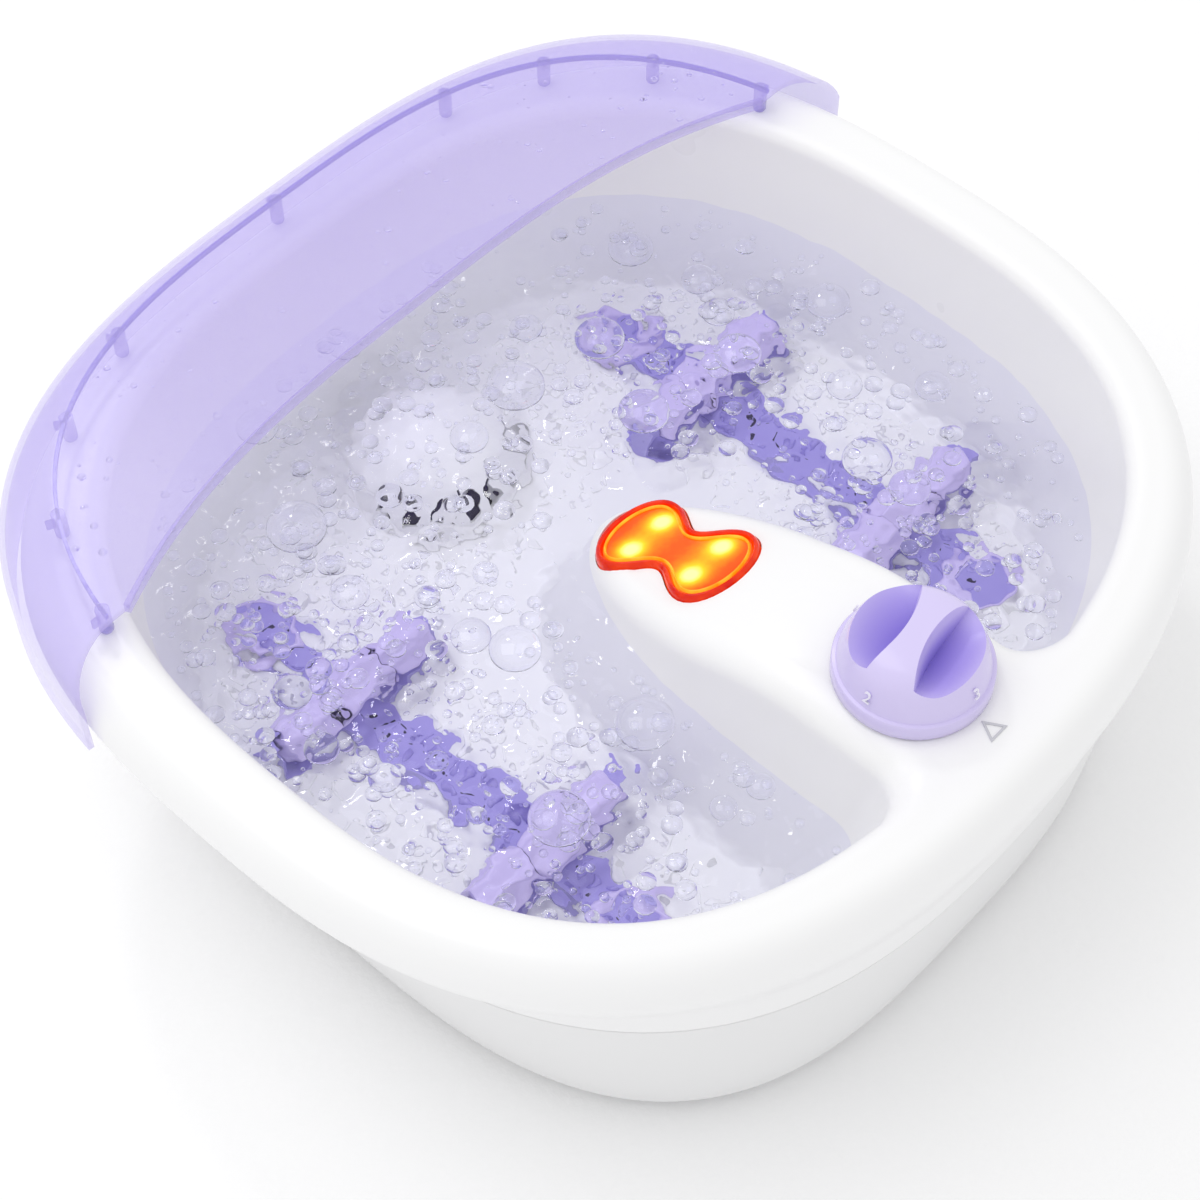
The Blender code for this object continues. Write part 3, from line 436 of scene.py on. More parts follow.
def turned(profile, count, axis="Z"):
    """Closed solid of revolution of a (radius, height) profile."""
    bm = bmesh.new()
    verts = [bm.verts.new((r, 0.0, h)) for r, h in profile]
    edges = [bm.edges.new(pair) for pair in zip(verts, verts[1:])]
    if min(profile[0][0], profile[-1][0]) > 0.0:
        edges.append(bm.edges.new((verts[-1], verts[0])))
    bmesh.ops.spin(bm, geom=verts + edges, cent=(0, 0, 0), axis=(0, 0, 1),
                   angle=2 * math.pi, steps=count, use_merge=True)
    bmesh.ops.remove_doubles(bm, verts=bm.verts, dist=1e-6)
    turn = {"X": Matrix.Rotation(math.pi / 2, 3, "Y"),
            "Y": Matrix.Rotation(-math.pi / 2, 3, "X")}.get(axis)
    if turn:
        bmesh.ops.rotate(bm, verts=bm.verts, matrix=turn)
    bmesh.ops.recalc_face_normals(bm, faces=bm.faces)
    return bm


def moved(bm, place):
    if isinstance(place, Matrix):
        bmesh.ops.transform(bm, matrix=place, verts=bm.verts)
    else:
        bmesh.ops.translate(bm, vec=place, verts=bm.verts)
    return bm


def lens_outline(grow=0.0, count=36):
    """Two ovals joined by a waist: a stretched Cassini oval with its foci on Y."""
    length = LENS_HALF_LENGTH
    b2 = (length ** 2 + LENS_WAIST ** 2) / 2
    c2 = (length ** 2 - LENS_WAIST ** 2) / 2
    points = []
    for i in range(count):
        a = 2 * math.pi * i / count
        r = math.sqrt(-c2 * math.cos(2 * a)
                      + math.sqrt(b2 ** 2 - (c2 * math.sin(2 * a)) ** 2))
        points.append(Vector((LENS_STRETCH * r * math.cos(a), r * math.sin(a))))
    grown = []
    for i, p in enumerate(points):
        along = points[(i + 1) % count] - points[i - 1]
        q = p + Vector((along.y, -along.x)).normalized() * grow
        grown.append((q.x, q.y))
    return grown


slope = (crest(LENS_Y + 0.001) - crest(LENS_Y - 0.001)) / 0.002
LENS_PLACE = (Matrix.Translation((0, LENS_Y, crest(LENS_Y)))
              @ Matrix.Rotation(math.atan(slope), 4, "X"))
SHOULDERS = [lerp(WELL_SHOULDER, RIDGE_SHOULDER, ridge_share(i)) for i in range(COLUMNS)]
WALL_FOOT = FLOOR_Z + WELL_FILLET


def tub_rings():
    flare_z = RIM_Z - RIM_ROLL_DROP - FLARE_DROP
    rings = [ring(outer_half(*body_sizes(lerp(SEAM_Z, flare_z, t))),
                  [lerp(SEAM_Z, flare_z, t)] * COLUMNS) for t in (0.0, 0.05, 0.5)]
    low = body_sizes(flare_z)
    high = (RIM_HALF_WIDTH, RIM_FRONT, RIM_BACK, RIM_POWER_FRONT, RIM_POWER_BACK)
    for t in steps(12, 0):
        sizes = [lerp(a, b, smooth(t)) for a, b in zip(low, high)]
        rings.append(ring(outer_half(*sizes), [flare_z + FLARE_DROP * t] * COLUMNS))
    for t in steps(10):
        turn = 0.5 * math.pi * t
        less = RIM_ROLL * (1 - math.cos(turn))
        outer_top = outer_half(RIM_HALF_WIDTH - less, RIM_FRONT - less, RIM_BACK - less,
                               RIM_POWER_FRONT, RIM_POWER_BACK)
        rings.append(ring(outer_top, [RIM_Z - RIM_ROLL_DROP * (1 - math.sin(turn))] * COLUMNS))
    edge = [well_half(-SHOULDERS[i])[i] for i in range(COLUMNS)]
    for v in steps(12):
        half, heights = [], []
        for i in range(COLUMNS):
            x, y = lerp(outer_top[i][0], edge[i][0], v), lerp(outer_top[i][1], edge[i][1], v)
            ridge_z = crest(y) + (RIM_Z - DECK_Z) * (1 - v) ** 2
            crown = CREST_CROWN * smooth((y - KNOB_Y) / (2 * KNOB_R))
            ridge_z -= crown * min(x / RIDGE_HALF, 1.0) ** 2 * smooth(v)
            half.append((x, y))
            heights.append(lerp(RIM_Z, ridge_z, ridge_share(i)))
        rings.append(ring(half, heights))
    for t in steps(8):
        turn = 0.5 * math.pi * t
        half = [well_half(-SHOULDERS[i] * (1 - math.sin(turn)))[i] for i in range(COLUMNS)]
        rings.append(ring(half, [heights[i] - SHOULDERS[i] * (1 - math.cos(turn))
                                 for i in range(COLUMNS)]))
    for t in steps(8):
        rings.append(ring(well_half(WELL_LEAN * t),
                          [lerp(heights[i] - SHOULDERS[i], WALL_FOOT, t)
                           for i in range(COLUMNS)]))
    for t in steps(6):
        turn = 0.5 * math.pi * t
        rings.append(ring(well_half(WELL_LEAN + WELL_FILLET * (1 - math.cos(turn))),
                          [WALL_FOOT - WELL_FILLET * math.sin(turn)] * COLUMNS))
    return rings, heights


def moulded(name, colour, rough, tone=0.03):
    """Moulded plastic: fine spark-eroded grain, slow changes of gloss and tone."""
    finish = Finish(name, colour, rough, IOR=1.49)
    cloud = finish.noise(14.0, 3.0)
    finish.set(Roughness=cloud * 0.12 + (rough - 0.06),
               Base_Color=finish.tint(cloud * tone, colour, tuple(c * 0.8 for c in colour)))
    grain = finish.noise(1800.0, 2.0) * 0.7 + finish.noise(260.0, 2.0) * 0.3
    finish.bump(grain, 0.00003)
    return finish


white = moulded("white_plastic", (0.92, 0.92, 0.925), 0.30)
rings, EDGE_HEIGHTS = tub_rings()
tub = made("tub_body", skinned(rings, last=True), white,
           stands_for=["tub_shell"])
if sum(p.normal.z * p.area for p in tub.data.polygons) < 0:
    tub.data.flip_normals()
thicken(tub, WALL)
window = skinned([[(x, y, z) for x, y in lens_outline(WINDOW_GROW, 96)]
                  for z in (-0.016, 0.016)], True, True)
shaft_hole = turned([(0, -0.02), (SHAFT_HOLE_R, -0.02), (SHAFT_HOLE_R, 0.02), (0, 0.02)], 24)
tool = cut(tub, joined([moved(window, LENS_PLACE), moved(shaft_hole, (0, KNOB_Y, DECK_Z))]))
settle(tub, tool)

# ------------------------------------------------------------------ base pan
# A shallow white pan closes the tub from below.  It is moulded in the same plastic,
# a little duller, and meets the tub wall at a fine seam all the way round.

FOOT_H = 0.004
BASE_EDGE = 0.006
SEAM_GAP = 0.0005
PAN_COLUMNS = 200

pan_white = moulded("pan_plastic", (0.84, 0.84, 0.845), 0.36)


def pan_ring(z, less):
    half_x, front, back, power_front, power_back = body_sizes(z)
    return [(*oval(half_x - less, front - less, back - less, power_front, power_back,
                   2 * math.pi * i / PAN_COLUMNS), z) for i in range(PAN_COLUMNS)]


top = SEAM_Z - SEAM_GAP
outside = [(FOOT_H + BASE_EDGE * (1 - math.cos(0.5 * math.pi * t)),
            BASE_EDGE * (1 - math.sin(0.5 * math.pi * t))) for t in steps(6, 0)]
outside += [(lerp(FOOT_H + BASE_EDGE, top - 0.0006, t), 0.0) for t in steps(6)]
outside += [(top, 0.0006), (top, WALL)]
inside = [(lerp(FOOT_H + BASE_EDGE, top, t), WALL) for t in (0.7, 0.3, 0.0)]
inside.append((FOOT_H + WALL, BASE_EDGE + WALL))
made("base_pan_body", skinned([pan_ring(z, less) for z, less in outside + inside], True, True),
     pan_white, stands_for=["base_pan"])

# ------------------------------------------------------------------ feet and screws
# Four grey rubber feet with a moulded ring in the sole, and the steel screws that hold
# the pan to the tub's bosses.

FOOT_R = 0.009
FOOT_SPOTS = {"front_left": (-1, -1), "front_right": (1, -1),
              "back_left": (-1, 1), "back_right": (1, 1)}
FOOT_X, FOOT_Y = 0.112, 0.118

rubber = moulded("grey_rubber", (0.55, 0.55, 0.57), 0.75)
steel = Finish("brushed_steel", (0.62, 0.63, 0.65), 0.28, Metallic=1.0)
steel.set(Roughness=steel.noise(900.0, 3.0) * 0.25 + 0.18)
for name, (sx, sy) in FOOT_SPOTS.items():
    sole = [(0.0, 0.0006), (0.0045, 0.0006), (0.0050, 0.0), (0.0080, 0.0), (0.0088, 0.0008),
            (FOOT_R, 0.0016), (FOOT_R, 0.0036), (0.0, 0.0036)]
    made("foot_" + name, moved(turned(sole, 48), (sx * FOOT_X, sy * FOOT_Y, 0.0)), rubber,
         stands_for=["rubber_foot_" + name])

# ------------------------------------------------------------------ massage strips
# A lavender strip lies along each well and carries two rollers on steel axles.  The
# strip feeds air to rows of bubble holes between small pressure nubs.

STRIP_X, STRIP_HALF, STRIP_H = 0.0990, 0.010, 0.005
STRIP_ENDS = (-0.104, 0.098)
STRIP_TOP = FLOOR_Z + 0.0003 + STRIP_H
LOOP_R, LOOP_TUBE, LOOP_BACK = 0.0115, 0.0030, 0.0095
ROLLER_SPOTS = {"toe": 0.043, "heel": -0.055}
ROLLER_R, ROLLER_HALF, ROLLER_BEADS, ROLLER_NECK = 0.0105, 0.0350, 3, 0.62
ROLLER_LOBES, ROLLER_LOBE_DEPTH, ROLLER_COLUMNS = 6, 0.17, 96
# Size of the dark rings between the roller beads, which are painted shade for the gaps.
SHADE_RING_R, SHADE_RING_HALF = 0.0078, 0.0007
AXLE_Z, AXLE_BORE = STRIP_TOP + 0.0115, 0.0026
NUB_GAP, NUB_SIDE, NUB_CLEAR = 0.0075, 0.0055, 0.012
NUB = [(0.0, -0.001), (0.0021, -0.001), (0.0021, 0.0), (0.0017, 0.0011), (0.0008, 0.0018),
       (0.0, 0.0020)]
# Each bubble hole is a thin dark disc on the strip top: painted shade for the hole.
AIR_HOLE = [(0.0, -0.001), (0.0010, -0.001), (0.0010, 0.0001), (0.0, 0.0001)]

strip_plastic = moulded("strip_plastic", (0.37, 0.32, 0.73), 0.33, 0.12)
roller_plastic = moulded("roller_plastic", (0.62, 0.54, 0.87), 0.26, 0.10)
# Painted shade: a near-black finish for the bubble holes, the gaps between the roller beads and
# the inside of the toe dome, where there is only shade.
painted_shade_dark = moulded("painted_shade_dark", (0.03, 0.02, 0.07), 0.6)


def roller():
    """A roller of rounded beads, each with lobes that sit between its neighbour's."""
    width = 2 * ROLLER_HALF / ROLLER_BEADS
    profile = []
    for bead in range(ROLLER_BEADS):
        for t in steps(14, 0)[:None if bead == ROLLER_BEADS - 1 else -1]:
            swell = math.sin(math.pi * t) ** 0.35 if 0 < t < 1 else 0.0
            profile.append((ROLLER_R * lerp(ROLLER_NECK, 1.0, swell),
                            -ROLLER_HALF + width * (bead + 0.5 - 0.5 * math.cos(math.pi * t))))
    bm = turned(profile + [(AXLE_BORE, ROLLER_HALF), (AXLE_BORE, -ROLLER_HALF)],
                ROLLER_COLUMNS, "X")
    for vert in bm.verts:
        x, y, z = vert.co
        radius = math.hypot(y, z)
        if radius > AXLE_BORE * 1.2:
            bead = min(int((x + ROLLER_HALF) / width), ROLLER_BEADS - 1)
            wave = math.cos(ROLLER_LOBES * math.atan2(z, y) + math.pi * (bead % 2))
            share = smooth((radius / ROLLER_R - ROLLER_NECK) / (1 - ROLLER_NECK))
            vert.co.yz = Vector((y, z)) * (1 - ROLLER_LOBE_DEPTH * share * (0.5 - 0.5 * wave))
    return bm


def gap_shade_rings():
    """Dark rings in the gaps between the beads: painted shade for the gaps."""
    parts = []
    for gap in range(1, ROLLER_BEADS):
        x = -ROLLER_HALF + 2 * ROLLER_HALF * gap / ROLLER_BEADS
        shade_ring = turned([(AXLE_BORE + 0.0002, -SHADE_RING_HALF), (SHADE_RING_R, -SHADE_RING_HALF),
                         (SHADE_RING_R, SHADE_RING_HALF), (AXLE_BORE + 0.0002, SHADE_RING_HALF)], 40, "X")
        parts.append(moved(shade_ring, (x, 0, 0)))
    return joined(parts)


for side, sign in (("left", -1), ("right", 1)):
    strip_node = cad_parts["massage_strip_" + side]
    strip_node.data.materials.clear()
    strip_node.data.materials.append(strip_plastic.material)
    nubs, holes = [], []
    count = int((STRIP_ENDS[1] - STRIP_ENDS[0] - 2 * LOOP_BACK) / NUB_GAP)
    for i in range(count + 1):
        y = STRIP_ENDS[0] + LOOP_BACK + i * NUB_GAP
        if min(abs(y - spot) for spot in ROLLER_SPOTS.values()) < NUB_CLEAR:
            continue
        for dx in (-NUB_SIDE, NUB_SIDE):
            nubs.append(moved(turned(NUB, 12), (sign * STRIP_X + dx, y, STRIP_TOP)))
        holes.append(moved(turned(AIR_HOLE, 10),
                           (sign * STRIP_X, y + NUB_GAP / 2, STRIP_TOP)))
    made("strip_nubs_" + side, joined(nubs), strip_plastic)
    # The holes are dark discs: painted shade.
    made("bubble_holes_" + side, joined(holes), painted_shade_dark)
    ends = []
    for end_y, back in ((STRIP_ENDS[0], LOOP_BACK), (STRIP_ENDS[1], -LOOP_BACK)):
        hoop = turned([(LOOP_R + LOOP_TUBE * math.cos(2 * math.pi * t),
                        LOOP_TUBE * math.sin(2 * math.pi * t)) for t in steps(16, 0)[:-1]], 56)
        ends.append(moved(hoop, (sign * STRIP_X, end_y + back, STRIP_TOP - 0.001)))
    made("strip_loops_" + side, joined(ends), roller_plastic)
    for end, y in ROLLER_SPOTS.items():
        name = "roller_%s_%s" % (side, end)
        place = (sign * STRIP_X, y, AXLE_Z)
        made("massage_" + name, moved(roller(), place), roller_plastic,
             name + "_body", [name])
        made("bead_gaps_shade_%s_%s" % (side, end), moved(gap_shade_rings(), place), painted_shade_dark,
             name + "_body")

# ------------------------------------------------------------------ floor nubs
# Small rounded nubs moulded into the floor of both wells, in staggered rows between the
# strips and the walls, to rub the soles.

FLOOR_NUB_R, FLOOR_NUB_H, FLOOR_NUB_PITCH = 0.0022, 0.0016, 0.0085
FLOOR_NUB = [(0.0, -0.0008), (FLOOR_NUB_R, -0.0008), (FLOOR_NUB_R, 0.0),
             (FLOOR_NUB_R * 0.75, FLOOR_NUB_H * 0.66), (0.0, FLOOR_NUB_H)]


def on_floor(x, y, clear):
    """True where a spot lies on the flat floor, clear of walls, ridge and strips."""
    side = RIM_HALF_WIDTH - RIM_LAND_SIDE - WELL_LEAN - WELL_FILLET - clear
    reach = RIM_BACK - RIM_LAND_BACK - WELL_LEAN - WELL_FILLET - clear
    if (abs(x) / side) ** WELL_POWER + (abs(y) / reach) ** WELL_POWER > 1.0:
        return False
    if abs(x) < RIDGE_HALF + WELL_LEAN + WELL_FILLET + clear and y < RIDGE_NOSE + 0.03:
        return False
    if abs(abs(x) - STRIP_X) < STRIP_HALF + clear and STRIP_ENDS[0] < y < STRIP_ENDS[1]:
        return False
    arms = min(abs(y - spot) for spot in ROLLER_SPOTS.values()) < 0.013
    return not (arms and abs(abs(x) - STRIP_X) < ROLLER_HALF + 0.006)


nubs = []
for row in range(-20, 21):
    for column in range(-20, 21):
        x = (column + 0.5 * (row % 2)) * FLOOR_NUB_PITCH
        y = row * FLOOR_NUB_PITCH * 0.87
        if on_floor(x, y, 0.003) and math.hypot(x, y - 0.099) > 0.043:
            nubs.append(moved(turned(FLOOR_NUB, 10), (x, y, FLOOR_Z)))
made("floor_nubs", joined(nubs), white)

# ------------------------------------------------------------------ toe dome
# A white slotted dome over the heater inlet at the toe end.  Warm water is drawn in
# through the slots; a dark core inside is painted shade for the dark behind them and shows
# between the bars.

DOME_Y, DOME_R, DOME_H, DOME_FLANGE = 0.0990, 0.036, 0.036, 0.002
SLOT_COUNT, SLOT_WIDTH, SLOT_LOW, SLOT_HIGH = 9, 0.0038, 0.006, 0.022
DOME_FOOT = FLOOR_Z + 0.0003

outer = [(DOME_R + DOME_FLANGE, DOME_FOOT), (DOME_R + DOME_FLANGE, DOME_FOOT + 0.0015),
         (DOME_R + 0.0008, DOME_FOOT + 0.0022)]
outer += [(DOME_R * math.cos(0.5 * math.pi * t) if t < 1 else 0.0,
           DOME_FOOT + 0.003 + (DOME_H - 0.003) * math.sin(0.5 * math.pi * t))
          for t in steps(18, 0)]
inner = [((DOME_R - WALL) * math.cos(0.5 * math.pi * t) if t < 1 else 0.0,
          DOME_FOOT + (DOME_H - WALL) * math.sin(0.5 * math.pi * t)) for t in steps(18, 0)]
dome = made("slotted_dome", moved(turned(outer + inner[::-1], 96), (0, DOME_Y, 0)), white,
            stands_for=["toe_dome"])
slots = []
for i in range(SLOT_COUNT):
    slot = bmesh.new()
    bmesh.ops.create_cube(slot, size=1.0)
    bmesh.ops.scale(slot, vec=(0.024, SLOT_WIDTH, SLOT_HIGH - SLOT_LOW), verts=slot.verts)
    bmesh.ops.bevel(slot, geom=slot.edges[:], offset=0.0016, segments=3, affect="EDGES",
                    profile=0.5, material=-1)
    moved(slot, (DOME_R - 0.002, 0, DOME_FOOT + (SLOT_LOW + SLOT_HIGH) / 2))
    turn = Matrix.Rotation(math.pi * (1 + (i + 0.5) / SLOT_COUNT), 4, "Z")
    slots.append(moved(moved(slot, turn), (0, DOME_Y, 0)))
settle(dome, cut(dome, joined(slots)))
# The dark core is painted shade: it stands in for the shade inside the dome.
core = [(0.0, DOME_FOOT), (DOME_R - 0.0035, DOME_FOOT), (DOME_R - 0.0045, DOME_FOOT + 0.012),
        (DOME_R - 0.012, DOME_FOOT + 0.024), (0.0, DOME_FOOT + 0.028)]
made("dome_shade_core", moved(turned(core, 48), (0, DOME_Y, 0)), painted_shade_dark)

# ------------------------------------------------------------------ selector knob
# A lavender knob with two leaf-shaped finger scoops on either side of its grip bar.
# Numbers for the four settings are raised on its shoulder; the deck has a pointer.

KNOB_H, KNOB_SKIRT = 0.026, 0.0075
KNOB_TURN = math.radians(11)
NUMBER_SIZE = 0.0062
NUMBERS = {"3": 0, "2": -90, "1": 180, "0": 90}

knob_plastic = moulded("knob_plastic", (0.68, 0.61, 0.91), 0.24, 0.05)
# Painted shade: the scoop faces get a darker copy of the knob plastic, darkest at their floors
# and lighter towards the rim, standing in for the shade in the recesses.
scoop_painted_shade = moulded("scoop_painted_shade", (0.30, 0.23, 0.72), 0.30)
depth = scoop_painted_shade.node("SeparateXYZ", sockets={0: scoop_painted_shade.place}, output="Z")
depth = (depth - DECK_Z - 0.0125) / 0.0125
scoop_painted_shade.set(Base_Color=scoop_painted_shade.ramp(depth, [
    (0.0, (0.28, 0.21, 0.70)), (0.35, (0.42, 0.34, 0.80)), (0.75, (0.62, 0.54, 0.90))]))
number_white = moulded("number_white", (0.86, 0.84, 0.95), 0.4)
KNOB_DOME = [(0.0, 1.0), (0.22, 0.997), (0.44, 0.982), (0.57, 0.950), (0.67, 0.90),
             (0.75, 0.825), (0.82, 0.72), (0.865, 0.60), (0.90, 0.48)]
SCOOP_LENGTH, SCOOP_IN, SCOOP_TIP, SCOOP_OUT = 0.0195, 0.0042, 0.0085, 0.0220
SCOOP_LEAN, SCOOP_Z = 0.0020, 0.0125

dome_line = [(KNOB_R * r, KNOB_H * z) for r, z in KNOB_DOME]
dome_line += [(KNOB_R * 0.928, KNOB_SKIRT + 0.0024), (KNOB_R - 0.0015, KNOB_SKIRT + 0.0003)]


def dome_height(radius):
    for (r0, z0), (r1, z1) in zip(dome_line, dome_line[1:]):
        if radius <= r1:
            return lerp(z0, z1, (radius - r0) / (r1 - r0))
    return dome_line[-1][1]


def finger_scoop(sign):
    """Leaf-shaped scoop: a steep wall at the grip bar and a gentle slope outwards."""
    rings = []
    for t in steps(40, 0):
        s = math.sin(math.radians(lerp(-87, 87, t)))
        x, open_share = SCOOP_LENGTH * s, math.sqrt(1 - s * s)
        y_in = lerp(SCOOP_TIP, SCOOP_IN, 1 - s * s)
        y_out = lerp(SCOOP_TIP, SCOOP_OUT, open_share)
        z_in, z_out = dome_height(math.hypot(x, y_in)), dome_height(math.hypot(x, y_out))
        y_low, z_low = y_in + SCOOP_LEAN * open_share, lerp(z_in, SCOOP_Z, open_share)
        slope = [(lerp(y_low, y_out, u), lerp(z_low, z_out, u) + (z_out - z_low)
                  * 0.45 * (u * u - u)) for u in steps(8, 0)]
        section = [(y_in, 1.3 * KNOB_H), (y_in, z_in)] + slope + [(y_out, 1.3 * KNOB_H)]
        rings.append([(x, sign * y, z) for y, z in section])
    return skinned(rings, True, True)


profile = dome_line + [
    (KNOB_R - 0.0004, KNOB_SKIRT), (KNOB_R, KNOB_SKIRT - 0.0006), (KNOB_R, 0.0014),
    (KNOB_R - 0.0005, 0.0006), (0.0033, 0.0006), (0.0033, 0.0108), (0.0, 0.0108)]
knob = made("knob_cap", turned(profile, 144), knob_plastic, "knob_body",
            ["selector_knob"])
scoops = cut(knob, joined([finger_scoop(sign) for sign in (-1, 1)]))
scoops.data.materials.append(scoop_painted_shade.material)
knob.modifiers[-1].material_mode = "TRANSFER"
settle(knob, scoops)
knob.data.transform(Matrix.Translation((0, KNOB_Y, DECK_Z)) @ Matrix.Rotation(KNOB_TURN, 4, "Z"))
bevel = knob.modifiers.new("Soft_edges", "BEVEL")
bevel.width, bevel.segments, bevel.angle_limit = 0.0005, 3, math.radians(35)
bevel.harden_normals = True

for text, angle in NUMBERS.items():
    curve = bpy.data.curves.new("number_" + text, "FONT")
    curve.body, curve.size, curve.extrude = text, NUMBER_SIZE, 0.0003
    curve.align_x, curve.align_y = "CENTER", "CENTER"
    lettering = bpy.data.objects.new("number_" + text, curve)
    bpy.context.collection.objects.link(lettering)
    bpy.context.view_layer.update()
    mesh = bpy.data.meshes.new_from_object(lettering)
    bpy.data.objects.remove(lettering)
    tilt = (Matrix.Translation((0, KNOB_Y, DECK_Z)) @ Matrix.Rotation(math.radians(angle), 4, "Z")
            @ Matrix.Translation((0, -0.0254, KNOB_SKIRT + 0.0053))
            @ Matrix.Rotation(math.radians(72), 4, "X"))
    mesh.transform(tilt)
    mesh.materials.clear()
    mesh.materials.append(number_white.material)
    number = bpy.data.objects.new("number_" + text, mesh)
    bpy.context.collection.objects.link(number)
    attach(number, "knob_body")

POINTER_R, POINTER_LINE, POINTER_H = 0.0050, 0.0008, 0.0010
pointer_grey = moulded("pointer_grey", (0.58, 0.58, 0.62), 0.4)
pointer = [[(r * math.sin(2 * math.pi * k / 3), r * math.cos(2 * math.pi * k / 3), z)
            for k in range(3)]
           for r, z in ((POINTER_R, 0.0), (POINTER_R, POINTER_H),
                        (POINTER_R - 2 * POINTER_LINE, POINTER_H),
                        (POINTER_R - 2 * POINTER_LINE, 0.0))]
made("deck_pointer", moved(looped(pointer), (0.0, -0.1640, DECK_Z - 0.0002)), pointer_grey)

# ------------------------------------------------------------------ infrared lens
# A red transparent window in the ridge with a rounded frame and an inner ridge.  Four
# infrared diodes sit on the board below; their glow through the window is painted into it as
# emission, brightest over each diode, and the frame and the bead carry a weaker painted glow.

LENS_COLUMNS = 144
LENS_PROUD, LENS_DEPTH = 0.0014, 0.0050
LED_X, LED_DY, LED_DEPTH = 0.0085, 0.0150, 0.0055

# Painted glow: the window emits light itself, in hot spots round the four diode places, standing
# in for the diodes' light shining through.
glow = Finish("lens_glow", (0.70, 0.03, 0.0), 0.12, IOR=1.5, Specular_IOR_Level=0.25,
              Emission_Strength=1.5)
shine = None
for sx in (-1, 1):
    for sy in (-1, 1):
        led = LENS_PLACE @ Vector((sx * LED_X, sy * LED_DY, LENS_PROUD))
        far = glow.node("VectorMath", {"operation": "DISTANCE"},
                        {0: glow.place, 1: tuple(led)}, output="Value")
        lobe = 1.0 / ((far / 0.0046) ** 2.0 + 1.0)
        shine = lobe if shine is None else shine + lobe
glow.set(Emission_Color=glow.ramp(shine * 0.85 + glow.noise(420.0, 2.0) * 0.06, [
    (0.05, (0.45, 0.01, 0.0)), (0.26, (0.62, 0.06, 0.0)), (0.38, (0.85, 0.20, 0.0)),
    (0.55, (1.0, 0.50, 0.01)), (0.82, (1.0, 0.90, 0.30))]))
# Painted glow on the frame: it emits a weak red light of its own.
frame_red_glow = Finish("lens_frame_red", (0.55, 0.01, 0.0), 0.14, IOR=1.5, Specular_IOR_Level=0.3,
                   Emission_Strength=0.42)
frame_red_glow.set(Emission_Color=frame_red_glow.ramp(frame_red_glow.noise(160.0, 2.0), [
    (0.3, (0.45, 0.0, 0.0)), (0.7, (0.95, 0.09, 0.0))]))
# Painted glow on the bead: it emits orange light of its own.
bead_orange_glow = Finish("lens_bead_orange", (0.90, 0.25, 0.01), 0.14, Specular_IOR_Level=0.3,
                     Emission_Strength=0.9)
bead_orange_glow.set(Emission_Color=bead_orange_glow.ramp(bead_orange_glow.noise(200.0, 2.0), [
    (0.3, (1.0, 0.18, 0.0)), (0.7, (1.0, 0.42, 0.03))]))


def lens_ring(less, z):
    return [(x, y, z) for x, y in lens_outline(-less, LENS_COLUMNS)]


def lens_band(middle, half, low, high):
    """A rounded band that follows the lens outline, closed all the way round."""
    rows = [lens_ring(middle + half, low)]
    rows += [lens_ring(middle + half * math.cos(math.pi * t),
                       lerp(low + 0.001, high, math.sin(math.pi * t))) for t in steps(10, 0)]
    return moved(looped(rows + [lens_ring(middle - half, low)]), LENS_PLACE)


plate = [lens_ring(0.0030, LENS_PROUD - LENS_DEPTH), lens_ring(0.0030, LENS_PROUD - 0.0010)]
plate += [lens_ring(lerp(0.0030, 0.0068, t), LENS_PROUD - 0.0010 + 0.0006 * math.sin(1.5 * t))
          for t in steps(6)]
made("lens_plate", moved(skinned(plate, True, True), LENS_PLACE), glow,
     stands_for=["infrared_lens"])
made("lens_frame", lens_band(0.0016, 0.0016, LENS_PROUD - LENS_DEPTH, LENS_PROUD + 0.0006),
     frame_red_glow)
made("lens_bead", lens_band(0.0040, 0.0006, LENS_PROUD - 0.0030, LENS_PROUD + 0.0003),
     bead_orange_glow)

# ------------------------------------------------------------------ splash guard
# A translucent lavender crescent that hooks over the rim at the toe end and lifts off.
# A rib runs under the sheet and stands on round pegs; the skirt ends in two hooks.

GUARD_Z, GUARD_T, GUARD_CLEAR, GUARD_SKIRT_Z = 0.150, 0.0022, 0.0010, 0.112
GUARD_RIB_IN, GUARD_RIB_IN_BACK, GUARD_POWER = 0.022, 0.008, 3.0
GUARD_END_Y, GUARD_BOW, GUARD_LIP, GUARD_END_WIDTH, GUARD_HOOK = 0.074, 0.026, 0.005, 0.008, 0.011
PEG_ANGLES = (0.0, 0.27, 0.50, 0.76, 1.0)
GUARD_STATIONS = 180

guard_clear = Finish("guard_clear", (0.55, 0.47, 0.91), 0.22, IOR=1.46, Alpha=0.33,
                     Specular_IOR_Level=0.3)
guard_clear.set(Base_Color=guard_clear.tint(guard_clear.noise(9.0, 2.0), (0.52, 0.44, 0.90),
                                            (0.61, 0.53, 0.93)))
guard_clear.bump(guard_clear.noise(60.0, 3.0) * 0.7 + guard_clear.noise(700.0) * 0.15, 0.00010)
rib_clear = Finish("guard_rib_clear", (0.20, 0.15, 0.68), 0.16, IOR=1.46, Alpha=0.80)
rib_clear.bump(rib_clear.noise(400.0), 0.00010)
peg_clear = Finish("guard_peg_clear", (0.38, 0.31, 0.82), 0.16, IOR=1.46, Alpha=0.40)
peg_clear.bump(peg_clear.noise(400.0), 0.00010)
drop_clear = Finish("drop_clear", (0.97, 0.97, 1.0), 0.0, IOR=1.33, Transmission_Weight=1.0)
drop_clear.bump(drop_clear.noise(200.0), 0.0001)


